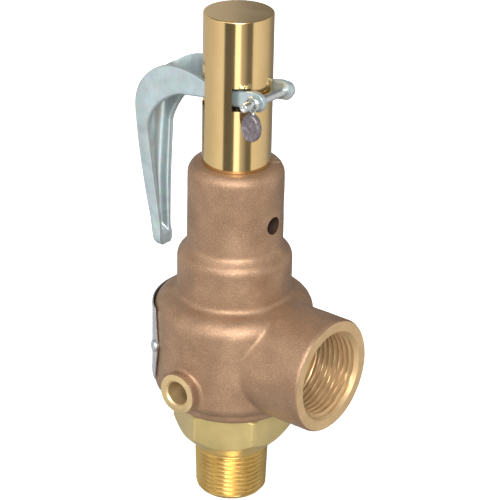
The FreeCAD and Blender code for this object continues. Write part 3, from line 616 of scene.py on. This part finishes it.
def make_body():
    piece = rough_body()
    remesh = piece.modifiers.new("join", "REMESH")
    remesh.mode = "VOXEL"
    remesh.voxel_size = 0.75 * MM
    apply_modifiers(piece)
    count = len(piece.data.vertices)
    flat = np.empty(count * 3)
    piece.data.vertices.foreach_get("co", flat)
    points = flat.reshape(-1, 3) / MM
    ends = np.empty(len(piece.data.edges) * 2, dtype=np.int64)
    piece.data.edges.foreach_get("vertices", ends)
    points = settle(points, ends.reshape(-1, 2))
    unevenness = (0.10 * noise_field(points, 14.0, 3) + 0.05 * noise_field(points, 4.5, 5)
                  + 0.018 * noise_field(points, 2.2, 7))
    points = points + distance_slope(points)[1] * unevenness[:, None]
    piece.data.vertices.foreach_set("co", (points * MM).ravel())
    piece.data.update()
    spigot = lathe("spigot", rod_path(SPIGOT_RADIUS, 120, SPIGOT_TOP))
    boolean(piece, [spigot], "UNION")
    boolean(piece, body_cutters())
    shade(piece, 38.0)
    kinds = machined_faces(piece)
    # The fourth material paints shade on the vent hole's walls.
    finish_piece(piece, "body", [BRONZE, BRASS_X, BRASS_Y, VENT_PAINTED_SHADE], "valve_body")
    piece.data.polygons.foreach_set("material_index", kinds)


make_body()

# ---------------------------------------------------------------- inlet nozzle

HEX_FLAT = (NOZZLE_HIGH[0] - NOZZLE_LOW[0]) / 2
HEX_CORNER = (NOZZLE_HIGH[1] - NOZZLE_LOW[1]) / 2
INLET_LENGTH = MOUNTS["inlet"]["dims"]["length_mm"]
INLET_RADIUS = MOUNTS["inlet"]["dims"]["r_mm"]
HEX_TOP = BODY_LOW[2]


def hexagon_radius(steps, flat, corner):
    """Distance from the axis to a hexagon's side at each step, with its corners turned off."""
    turn = np.arange(steps) * TAU / steps
    inside = (turn + TAU / 12) % (TAU / 6) - TAU / 12
    return np.minimum(flat / np.cos(inside), corner)


def make_nozzle():
    steps, pitch, depth = 240, 1.814, 0.95
    turn = np.arange(steps) / steps
    side = hexagon_radius(steps, HEX_FLAT, HEX_CORNER)
    bore, throat, seat_radius, seat_level = 9.6, 6.5, 9.0, 57.0
    path = [(bore, 0.35), (bore + 0.35, 0.0), (11.2, 0.0)]
    for place in np.arange(0.15, INLET_LENGTH - 0.55, pitch / 12):
        crest = INLET_RADIUS - 0.16 + place * THREAD_TAPER * 0.98
        fade = np.clip((INLET_LENGTH - 0.6 - place) / 0.8, 0, 1)
        radius = crest - depth * thread_radius(turn - place / pitch) * fade
        path.append((np.minimum(radius, 11.6 + place * 0.85), place))
    foot = INLET_RADIUS + 0.2
    path += [(foot, INLET_LENGTH - 0.4), (foot + 0.15, INLET_LENGTH)]
    for part in (0.35, 0.7, 0.94):
        rise = (side - foot) * part
        path.append((foot + rise, INLET_LENGTH + rise))
    cone_top = INLET_LENGTH + side - foot
    path += [(side - 0.12, cone_top - 0.02), (side, cone_top + 0.3)]
    top_chamfer = np.clip(side - HEX_FLAT - 0.9, 0, None) * 0.5
    path += [(side, HEX_TOP - 0.35 - top_chamfer), (side - 0.2, HEX_TOP - 0.08 - top_chamfer)]
    path += [(np.minimum(side - 0.3, 20.2), HEX_TOP), (STEM_RADIUS, HEX_TOP), (STEM_RADIUS, STEM_TOP),
             (seat_radius, STEM_TOP), (seat_radius, seat_level - 0.8), (seat_radius - 0.9, seat_level),
             (throat, seat_level), (throat, 34.0), (bore, 26.0)]
    piece = lathe("nozzle_turned", path, steps, closed=True, sharp=28.0)
    finish_piece(piece, "body", [BRASS_Z, HEXAGON_BRASS], "inlet_nozzle")
    for face in piece.data.polygons:
        reach = math.hypot(face.center.x, face.center.y) / MM
        face.material_index = int(reach > foot + 0.3 and face.center.z / MM > INLET_LENGTH)


make_nozzle()

# ---------------------------------------------------------------- cap

CAP_RADIUS = CAP_HIGH[0]
CAP_WALL = 1.4
WINDOW_NEAR, WINDOW_FAR = 6.3, 10.8
FRONT_WINDOW = (155.0, 163.3)
REAR_WINDOW = (153.8, 168.8)


def round_normals(piece, radius):
    """Set exact radial normals on the outer wall of that radius; elsewhere they stay automatic."""
    mesh = piece.data
    normals = [(0.0, 0.0, 0.0)] * len(mesh.loops)
    for face in mesh.polygons:
        if abs(face.normal.z) > 0.05:
            continue
        for loop in face.loop_indices:
            place = mesh.vertices[mesh.loops[loop].vertex_index].co
            reach = math.hypot(place.x, place.y)
            outward = Vector((place.x / reach, place.y / reach, 0))
            if abs(reach / MM - radius) < 0.01 and face.normal.dot(outward) > 0.98:
                normals[loop] = tuple(outward)
    mesh.normals_split_custom_set(normals)


def make_cap():
    top = CAP_HIGH[2]
    inner = CAP_RADIUS - CAP_WALL
    crown = [(reach, top, 0) for reach in (0, 2, 6, CAP_RADIUS - 3, CAP_RADIUS - 1.2)]
    wall = [(CAP_RADIUS, top, 0.8), (CAP_RADIUS, NECK_TOP, 0.35), (SPIGOT_RADIUS, NECK_TOP, 0)]
    inside = [(SPIGOT_RADIUS, SPIGOT_TOP, 0), (inner, SPIGOT_TOP, 0), (inner, top - 2.4, 0.6),
              (0, top - 2.4, 0)]
    verts, faces = lathe_mesh(fillet_path(crown + wall + inside, 6), 480)
    piece = make_object("cap_polished", verts, faces, 30.0)
    cutters = []
    for direction, (low, high) in ((1, FRONT_WINDOW), (-1, REAR_WINDOW)):
        for hand in (1, -1):
            ends = sorted((hand * WINDOW_NEAR, hand * WINDOW_FAR))
            reach = sorted((0.0, direction * 16.0))
            cutters.append(box_object("window", (reach[0], ends[0], low), (reach[1], ends[1], high)))
    boolean(piece, cutters)
    bevel(piece, 0.18, 50.0)
    shade(piece, 30.0)
    round_normals(piece, CAP_RADIUS)
    finish_piece(piece, "body", CAP_BRASS, "cap")


make_cap()

# ---------------------------------------------------------------- lever

PIVOT = [value / MM for value in JOINTS["lever_lift"]["pos_m"]]
LEVER_LOW, LEVER_HIGH = corners("lever")
HALF_WIDTH = LEVER_HIGH[1]
SHEET = 1.9
HEEL_RADIUS = 1.5
NOSE_RADIUS = 3.5
NOSE = (LEVER_HIGH[0] - NOSE_RADIUS, 159.7)
PIN_RADIUS = 1.58
ARCH_CENTRE = (-20.4, 143.6)
ARCH_RADIUS = ARCH_CENTRE[0] - LEVER_LOW[0]
INNER_CENTRE, INNER_RADIUS = (-11.57, 131.61), 23.85
SLOT_END = -27.0
TIP_LEVEL = LEVER_LOW[2] + 0.7
TIP_CLOSED = 6.0
TAPER_TOP, TAPER_BOTTOM, TIP_HALF_WIDTH = 153.0, 100.0, 3.5


def on_circle(centre, radius, degrees):
    turn = math.radians(degrees)
    return centre[0] + radius * math.cos(turn), centre[1] + radius * math.sin(turn)


def lever_edges():
    """Matched points on the pressing's folded edge and its free edge, from nose to tip."""
    pairs = []
    for degrees in (4, 15, 30, 50, 70, 88):
        turn = math.radians(degrees)
        across = NOSE[0] + NOSE_RADIUS * math.cos(turn)
        rise = NOSE_RADIUS * math.sin(turn)
        pairs.append(((across, NOSE[1] + rise), (across, NOSE[1] - rise)))
    heel = HEEL_RADIUS * 0.6
    under = PIVOT[2] - heel
    pairs += [((11.8, 163.05), (11.2, under)), ((10.7, 162.8), (PIVOT[0] + HEEL_RADIUS * 0.8, under))]
    for part in (0.4, 0.0, -0.4):
        across = PIVOT[0] + HEEL_RADIUS * part
        pairs.append(((across + 0.1, 162.6 - 0.3 * (0.4 - part)),
                      (across, PIVOT[2] - HEEL_RADIUS * math.sqrt(1 - part * part))))
    pairs.append(((8.0, 162.2), (PIVOT[0] - HEEL_RADIUS * 0.8, under)))
    for across, upper in ((5.0, 161.65), (0.0, 161.75), (-5.0, 161.9)):
        pairs.append(((across, upper), (across, under)))
    pairs += [((-8.5, 162.1), (-8.5, under - 0.05)), ((-12.0, 163.0), (-12.0, under - 0.55)),
              ((-16.0, 163.85), (-15.8, under - 1.05))]
    for step in range(11):
        pairs.append((on_circle(ARCH_CENTRE, ARCH_RADIUS, 90 + 9 * step),
                      on_circle(INNER_CENTRE, INNER_RADIUS, 108.7 + 5.83 * step)))
    inner_start = 137.0
    for part in np.linspace(0.08, 1.0, 12):
        level = ARCH_CENTRE[1] + (TIP_LEVEL - ARCH_CENTRE[1]) * part
        outer = (ARCH_CENTRE[0] - ARCH_RADIUS - 0.5 * part + 4.85 * part ** 2, level)
        inner = (-34.8 + 2.8 * part ** 1.3, inner_start + (TIP_LEVEL - inner_start) * part)
        pairs.append((outer, inner))
    return np.array(pairs)


def smooth_pairs(pairs, count):
    """More points through the matched pairs, evenly spaced along them, on a smooth cubic."""
    middle = pairs.mean(axis=1)
    run = np.concatenate([[0], np.cumsum(np.linalg.norm(np.diff(middle, axis=0), axis=1))])
    wanted = np.linspace(0, run[-1], count)
    flat = pairs.reshape(len(pairs), 4)
    slope = np.gradient(flat, run, axis=0)
    spot = np.clip(np.searchsorted(run, wanted) - 1, 0, len(run) - 2)
    width = (run[spot + 1] - run[spot])[:, None]
    part = (wanted - run[spot])[:, None] / width
    square, cube = part**2, part**3
    result = ((2 * cube - 3 * square + 1) * flat[spot] + (cube - 2 * square + part) * slope[spot] * width
              + (3 * square - 2 * cube) * flat[spot + 1] + (cube - square) * slope[spot + 1] * width)
    return result.reshape(count, 2, 2)


def half_width_at(level):
    """Half the lever's outer width at a height of its handle."""
    part = np.clip((TAPER_TOP - level) / (TAPER_TOP - TAPER_BOTTOM), 0, 1)
    return HALF_WIDTH + (TIP_HALF_WIDTH - HALF_WIDTH) * part


def channel_profile(wide, depth, bend, web_level):
    """Half of a folded channel as (half-width, distance from the fold) points, fold to free edge."""
    bend_steps, side_steps, web_steps = 6, 8, 4
    profile = [((wide - bend) * part, web_level) for part in np.linspace(0, 1, web_steps + 1)[:-1]]
    rise = min(bend, (depth - web_level) * 0.8)
    for part in np.linspace(0, 1, bend_steps + 1):
        turn = part * math.pi / 2
        profile.append((wide - bend + bend * math.sin(turn), web_level + rise * (1 - math.cos(turn))))
    start = web_level + rise
    for part in np.linspace(0, 1, side_steps + 1)[1:]:
        profile.append((wide, start + (depth - start) * part))
    return profile


def make_lever():
    pairs = smooth_pairs(lever_edges(), 180)
    rows = []
    for folded, free in pairs:
        depth = np.linalg.norm(free - folded)
        inward = (free - folded) / depth
        wide = half_width_at(folded[1])
        onset = np.clip((-24.0 - folded[0]) / 9.0, 0, 1)
        taper = (HALF_WIDTH - wide) / (HALF_WIDTH - TIP_HALF_WIDTH)
        bend = min(0.35 + 0.9 * onset + 1.2 * taper, depth * 0.75, wide * 0.94)
        blunt = np.clip((TIP_LEVEL + 2.2 - free[1]) / 2.2, 0, 1)
        wide -= 1.2 * blunt * blunt
        wall = min(SHEET + 0.7 * onset, wide * 0.5)
        fillet = min(0.25 + 4.4 * onset, (wide - wall) * 0.9)
        closing = np.clip((TIP_LEVEL + TIP_CLOSED - free[1]) / 2.0, 0, 1)
        closing = closing * closing * (3 - 2 * closing)
        lip = min(wall / 2, depth * 0.4) * (1 - 0.92 * closing)
        web = min(SHEET, depth * 0.45)
        web += (depth - web) * closing
        outer = channel_profile(wide, depth - lip, bend, 0.0)
        inner = channel_profile(wide - wall, depth - lip, fillet, min(web, depth - lip - 0.05))
        edge = []
        for part in np.linspace(0, 1, 7)[1:-1]:
            turn = part * math.pi
            edge.append((wide - wall / 2 + wall / 2 * math.cos(turn), depth - lip + lip * math.sin(turn)))
        half = outer + edge + inner[::-1]
        profile = half + [(-y, d) for y, d in half[-2:0:-1]]
        rows.append([(folded[0] + inward[0] * d, y, folded[1] + inward[1] * d) for y, d in profile])
    columns = len(rows[0])
    verts = np.array(rows).reshape(-1, 3)
    faces = grid_faces(len(rows), columns)
    faces.append(tuple(range(columns)))
    faces.append(tuple(range((len(rows) - 1) * columns, len(rows) * columns)))
    piece = make_object("lever_pressing", verts, faces, 60.0)
    slot_half = HALF_WIDTH - SHEET
    slot_end = lathe("slot_end", rod_path(slot_half, 145, 170), 64, origin=(SLOT_END, 0, 0))
    slot_box = box_object("slot_box", (SLOT_END, -slot_half, 146), (25, slot_half, 169))
    hole = lathe("pin_cutter", rod_path(PIN_RADIUS + 0.04, -12, 12), 48, axis=(0, 1, 0),
                 origin=(NOSE[0], 0, NOSE[1]))
    boolean(piece, [slot_end, slot_box, hole])
    bevel(piece, 0.3, 50.0, 3)
    shade(piece, 40.0)
    finish_piece(piece, "lever", ZINC_LEVER, "lever")


make_lever()

# ---------------------------------------------------------------- pin, wire and seal

PIN_LOW, PIN_HIGH = corners("lever_pin")
SEAL_LOW, SEAL_HIGH = corners("lead_seal")
WIRE_LOW, WIRE_HIGH = corners("seal_wire")


def make_pin():
    """The pin, with a small dimple in one end and a flat head on the other."""
    near, far = PIN_LOW[1], PIN_HIGH[1]
    length = far - near
    end = [(0, 0.9, 0), (0.62, 0.5, 0.1), (0.9, 0, 0.15), (PIN_RADIUS, 0, 0.35)]
    head = [(PIN_RADIUS, length - 1.5, 0.2), (2.9, length - 1.5, 0.4), (2.9, length, 0.6), (0, length, 0)]
    piece = lathe("pin_turned", fillet_path(end + head, 4), 48, axis=(0, 1, 0),
                  origin=(NOSE[0], near, NOSE[1]), sharp=40)
    finish_piece(piece, "lever", PIN_STEEL, "lever_pin")


def tube(name, points, radius):
    """A round wire along a smooth line of points in millimetres."""
    curve = bpy.data.curves.new(name, "CURVE")
    curve.dimensions = "3D"
    curve.bevel_depth = radius * MM
    curve.bevel_resolution = 4
    curve.resolution_u = 6
    spline = curve.splines.new("NURBS")
    spline.points.add(len(points) - 1)
    for target, point in zip(spline.points, points):
        target.co = (*(value * MM for value in point), 1)
    spline.order_u = 4
    spline.use_endpoint_u = True
    curve.use_fill_caps = True
    holder = add_object(name, curve)
    graph = bpy.context.evaluated_depsgraph_get()
    mesh = bpy.data.meshes.new_from_object(holder.evaluated_get(graph))
    bpy.data.objects.remove(holder)
    piece = add_object(name, mesh)
    shade(piece, 60)
    return piece


def make_wire():
    """Two turns over the pin, with both ends going down into the seal."""
    along = (WIRE_LOW[1] + WIRE_HIGH[1]) / 2
    seal_along = (SEAL_LOW[1] + SEAL_HIGH[1]) / 2
    points = []
    turns, radius = 2, 2.55
    for step in range(turns * 16 + 1):
        angle = -math.pi / 2 + TAU * step / 16
        slip = (step / (turns * 16) - 0.5) * 1.1
        points.append((NOSE[0] + radius * math.cos(angle), along + slip, NOSE[1] + radius * math.sin(angle)))
    down, top = (SEAL_HIGH[0] + SEAL_LOW[0]) / 2, SEAL_HIGH[2]
    start = [(down + 0.5, seal_along - 0.3, top - 1.6), (down + 0.9, along - 0.9, top + 0.1)]
    end = [(down - 0.3, along + 0.2, top + 0.1), (down - 0.5, seal_along + 0.3, top - 1.6)]
    piece = tube("seal_wire_loop", start + points + end, 0.33)
    finish_piece(piece, "seal", PIN_STEEL, "seal_wire")


# The pressed seal stands a little shorter than its solid.
SEAL_HEIGHT_SHARE = 0.87


def make_seal():
    radius = (SEAL_HIGH[0] - SEAL_LOW[0]) / 2
    tall = (SEAL_HIGH[2] - SEAL_LOW[2]) / 2 * SEAL_HEIGHT_SHARE
    half = (SEAL_HIGH[1] - SEAL_LOW[1]) / 2
    centre = [(low + high) / 2 for low, high in zip(SEAL_LOW, SEAL_HIGH)]
    face = [(radius * part, half - 0.45 * math.exp(-((part - 0.42) / 0.30) ** 2))
            for part in np.linspace(0.06, 0.9, 10)]
    rim = [(radius * 0.975, half * 0.72), (radius, half * 0.3), (radius, -half * 0.3),
           (radius * 0.975, -half * 0.72)]
    back = [(r, -h) for r, h in reversed(face)]
    path = [(0, half)] + face + rim + back + [(0, -half)]
    verts, faces = lathe_mesh(path, 72)
    verts = verts * (1 + 0.018 * noise_field(verts, 7.0, 9)[:, None] * np.array([1, 1, 0]))
    verts[:, 2] += 0.10 * noise_field(verts, 2.4, 11)
    for axis, reach in ((0, radius), (1, tall)):
        verts[:, axis] *= (reach - 0.02) / np.abs(verts[:, axis]).max()
    verts[:, 2] = np.clip(verts[:, 2], -half, half)
    piece = make_object("lead_seal_pressed", aim(verts, (0, -1, 0), centre), faces, 60)
    finish_piece(piece, "seal", LEAD, "lead_seal")


make_pin()
make_wire()
make_seal()

# ---------------------------------------------------------------- nameplate and drive screws

PLATE_LOW, PLATE_HIGH = corners("nameplate")
PLATE_OUTER = -PLATE_LOW[0]
PLATE_CORNER = 24.1
PLATE_GAUGE = 0.42
RULED_SHARE = 0.72
RULE_SPACING = 4.0
SCREW_ANGLE = 56.5


def make_nameplate():
    """A rolled plate with pointed ends, a raised border and plain ruled fields."""
    level = (PLATE_LOW[2] + PLATE_HIGH[2]) / 2
    half_height = (PLATE_HIGH[2] - PLATE_LOW[2]) / 2
    point_angle = math.asin(PLATE_HIGH[1] / (PLATE_OUTER - 0.05))
    corner_angle = math.asin(PLATE_CORNER / PLATE_OUTER)
    columns, rows = 180, 144
    verts = []
    for row in range(rows):
        across = -1 + 2 * row / (rows - 1)
        reach = corner_angle + (point_angle - corner_angle) * (1 - abs(across))
        for column in range(columns):
            along = -1 + 2 * column / (columns - 1)
            angle = math.pi + along * reach
            edge = min((1 - abs(across)) * half_height, (1 - abs(along)) * reach * PLATE_OUTER)
            border = math.exp(-((edge - 1.3) / 0.35) ** 2)
            rule = 0.0
            if max(abs(along), abs(across)) < RULED_SHARE:
                line = (across * half_height + 8.0) / RULE_SPACING
                rule = math.exp(-((line - round(line)) * RULE_SPACING / 0.45) ** 2)
            radius = PLATE_OUTER - 0.14 + 0.13 * border - 0.20 * rule
            verts.append((radius * math.cos(angle), radius * math.sin(angle), level + across * half_height))
    piece = make_object("nameplate_rolled", verts, grid_faces(rows, columns, wrap_columns=False), 40)
    normal = piece.data.polygons[rows // 2 * (columns - 1) + columns // 2].normal
    solid = piece.modifiers.new("sheet", "SOLIDIFY")
    solid.thickness = PLATE_GAUGE * MM
    solid.offset = -1.0 if normal.x < 0 else 1.0
    apply_modifiers(piece)
    shade(piece, 40)
    finish_piece(piece, "body", PLATE_METAL, "nameplate")


def make_drive_screws():
    """Two domed drive screws, one near each point of the plate."""
    level = (PLATE_LOW[2] + PLATE_HIGH[2]) / 2
    shank = [(0, 24.6), (1.2, 24.6), (1.2, PLATE_OUTER - 0.15), (2.3, PLATE_OUTER - 0.13)]
    dome = [(2.3, 0.35), (2.12, 0.78), (1.6, 1.12), (0.8, 1.28), (0, 1.3)]
    path = shank + [(radius, PLATE_OUTER + rise) for radius, rise in dome]
    screws = []
    for side in (-1, 1):
        angle = math.pi + side * math.radians(SCREW_ANGLE)
        verts, faces = lathe_mesh(path, 48)
        screws.append((aim(verts, (math.cos(angle), math.sin(angle), 0), (0, 0, level)), faces))
    piece = make_object("drive_screws_domed", *merge_meshes(screws), 40)
    finish_piece(piece, "body", ZINC_SMALL, "nameplate_screws")


make_nameplate()
make_drive_screws()

# ---------------------------------------------------------------- carried-over CAD nodes

CARRIED = {
    "regulating_ring": BRASS_Z, "ring_set_screw": ZINC_SMALL, "seat_disc": SPINDLE_STEEL,
    "disc_holder": BRASS_Z, "spindle": SPINDLE_STEEL, "lower_spring_step": BRASS_Z,
    "upper_spring_step": BRASS_Z, "spring": SPRING_STEEL, "compression_screw": BRASS_Z,
    "compression_locknut": BRASS_Z, "lift_washer": ZINC_SMALL, "spindle_nut": ZINC_SMALL,
    "spindle_jam_nut": ZINC_SMALL,
}
for node, material in CARRIED.items():
    mesh = frame["nodes"][node].data
    mesh.materials.clear()
    mesh.materials.append(material)

# ---------------------------------------------------------------- floor, light and camera

floor_mesh = bpy.data.meshes.new("floor")
floor_mesh.from_pydata([(-4, -4, 0), (4, -4, 0), (4, 4, 0), (-4, 4, 0)], [], [(0, 1, 2, 3)])
floor = add_object("floor", floor_mesh)
floor.location.z = -0.0003
floor_paint, _, floor_shader = new_material("floor_paint", (0.93, 0.93, 0.93), 0.0, 0.8)
floor_shader.inputs["Emission Color"].default_value = (1, 1, 1, 1)
floor_shader.inputs["Emission Strength"].default_value = 0.6
floor_mesh.materials.append(floor_paint)
floor.visible_glossy = False
floor.visible_diffuse = False

CAMERA_PLACE = Vector((0.455755, -0.578579, 0.439466))
CAMERA_YAW = -0.6598
CAMERA_PITCH = 0.4352
CAMERA_ROLL = 0.0205
CAMERA_LENS = 162.66
CAMERA_AZIMUTH = 38.2
SKY_TOP = 0.28
SKY_FLOOR = 0.42
# Round soft lights on the camera's side: degrees round and up, outer and inner half-width, brightness.
LAMPS = [(40.0, 32.0, (20.0, 7.0), 14.0), (22.0, 42.0, (52.0, 10.0), 1.25)]
# Brightness of the studio walls all round, as (degrees from the camera's side, brightness): soft
# boxes at both sides, a dark gap towards the camera and one narrow bright strip in it.
STUDIO_WALLS = [(-180, 0.55), (-132, 0.64), (-90, 0.80), (-56, 1.02), (-47, 0.98), (-43, 0.16), (-24, 0.17),
                (-11, 0.24), (-8, 1.9), (7, 1.9), (10, 0.75), (22, 0.48), (32, 0.20), (46, 0.20), (50, 0.96),
                (62, 0.98), (90, 0.80), (109, 0.66), (125, 0.42), (140, 0.28), (180, 0.25)]


def math_node(tree, operation, *values):
    node = tree.nodes.new("ShaderNodeMath")
    node.operation = operation
    for socket, value in zip(node.inputs, values):
        if isinstance(value, float):
            socket.default_value = value
        else:
            tree.links.new(value, socket)
    return node.outputs["Value"]


def lamp_glow(tree, direction, azimuth, height, widths, brightness):
    """A round light's brightness in each direction."""
    round_angle, height = math.radians(azimuth), math.radians(height)
    level = math.cos(height)
    towards = (math.sin(round_angle) * level, -math.cos(round_angle) * level, math.sin(height))
    facing = tree.nodes.new("ShaderNodeVectorMath")
    facing.operation = "DOT_PRODUCT"
    facing.inputs[1].default_value = towards
    tree.links.new(direction, facing.inputs[0])
    edges = [math.cos(math.radians(width)) for width in widths]
    glow = range_node(tree, facing.outputs["Value"], *edges, 0.0, brightness)
    glow.node.interpolation_type = "SMOOTHSTEP"
    return glow


def studio_world():
    """Soft studio light that depends only on direction, with a plain white backdrop for the camera."""
    world = bpy.data.worlds.new("studio")
    world.use_nodes = True
    tree = world.node_tree
    tree.nodes.clear()
    coordinates = tree.nodes.new("ShaderNodeTexCoord")
    axes = tree.nodes.new("ShaderNodeSeparateXYZ")
    tree.links.new(coordinates.outputs["Generated"], axes.inputs["Vector"])
    level_x, level_y = axes.outputs["X"], axes.outputs["Y"]
    azimuth = math_node(tree, "ARCTAN2", level_x, math_node(tree, "MULTIPLY", level_y, -1.0))
    turned = math_node(tree, "SUBTRACT", azimuth, math.radians(CAMERA_AZIMUTH))
    wrapped = math_node(tree, "WRAP", turned, math.pi, -math.pi)
    along = range_node(tree, wrapped, -math.pi, math.pi, 0.0, 1.0)
    brightest = max(level for _, level in STUDIO_WALLS)
    stops = [(degrees / 360 + 0.5, (level / brightest,) * 3) for degrees, level in STUDIO_WALLS]
    walls = math_node(tree, "MULTIPLY", ramp_node(tree, along, stops), brightest)
    height = axes.outputs["Z"]
    into_top = range_node(tree, height, 0.42, 0.72, 0.0, 1.0)
    into_floor = range_node(tree, height, -0.62, -0.88, 0.0, 1.0)
    for blend in (into_top, into_floor):
        blend.node.interpolation_type = "SMOOTHSTEP"
    light = mix_node(tree, into_top, walls, (SKY_TOP,) * 3)
    light = mix_node(tree, into_floor, light, (SKY_FLOOR,) * 3)
    for lamp in LAMPS:
        light = mix_node(tree, 1.0, light, lamp_glow(tree, coordinates.outputs["Generated"], *lamp), "ADD")
    backgrounds = []
    for colour in (light, None):
        background = tree.nodes.new("ShaderNodeBackground")
        background.inputs["Color"].default_value = (1, 1, 1, 1)
        if colour:
            tree.links.new(colour, background.inputs["Color"])
        backgrounds.append(background.outputs["Background"])
    path = tree.nodes.new("ShaderNodeLightPath")
    chosen = tree.nodes.new("ShaderNodeMixShader")
    tree.links.new(path.outputs["Is Camera Ray"], chosen.inputs[0])
    tree.links.new(backgrounds[0], chosen.inputs[1])
    tree.links.new(backgrounds[1], chosen.inputs[2])
    output = tree.nodes.new("ShaderNodeOutputWorld")
    tree.links.new(chosen.outputs["Shader"], output.inputs["Surface"])
    return world


bpy.context.scene.world = studio_world()
bpy.context.scene.view_settings.view_transform = "Standard"

camera = add_object("camera", bpy.data.cameras.new("camera"))
camera.data.lens = CAMERA_LENS
camera.data.sensor_width = 36.0
forward = Vector((math.sin(CAMERA_YAW) * math.cos(CAMERA_PITCH),
                  math.cos(CAMERA_YAW) * math.cos(CAMERA_PITCH), -math.sin(CAMERA_PITCH)))
level_right = forward.cross(Vector((0, 0, 1))).normalized()
level_up = level_right.cross(forward)
right = level_right * math.cos(CAMERA_ROLL) + level_up * math.sin(CAMERA_ROLL)
up = level_up * math.cos(CAMERA_ROLL) - level_right * math.sin(CAMERA_ROLL)
turn = Matrix((right, up, -forward)).transposed()
camera.matrix_world = Matrix.Translation(CAMERA_PLACE) @ turn.to_4x4()
camera.data.clip_start, camera.data.clip_end = 0.05, 20.0
bpy.context.scene.camera = camera

bpy.context.view_layer.update()
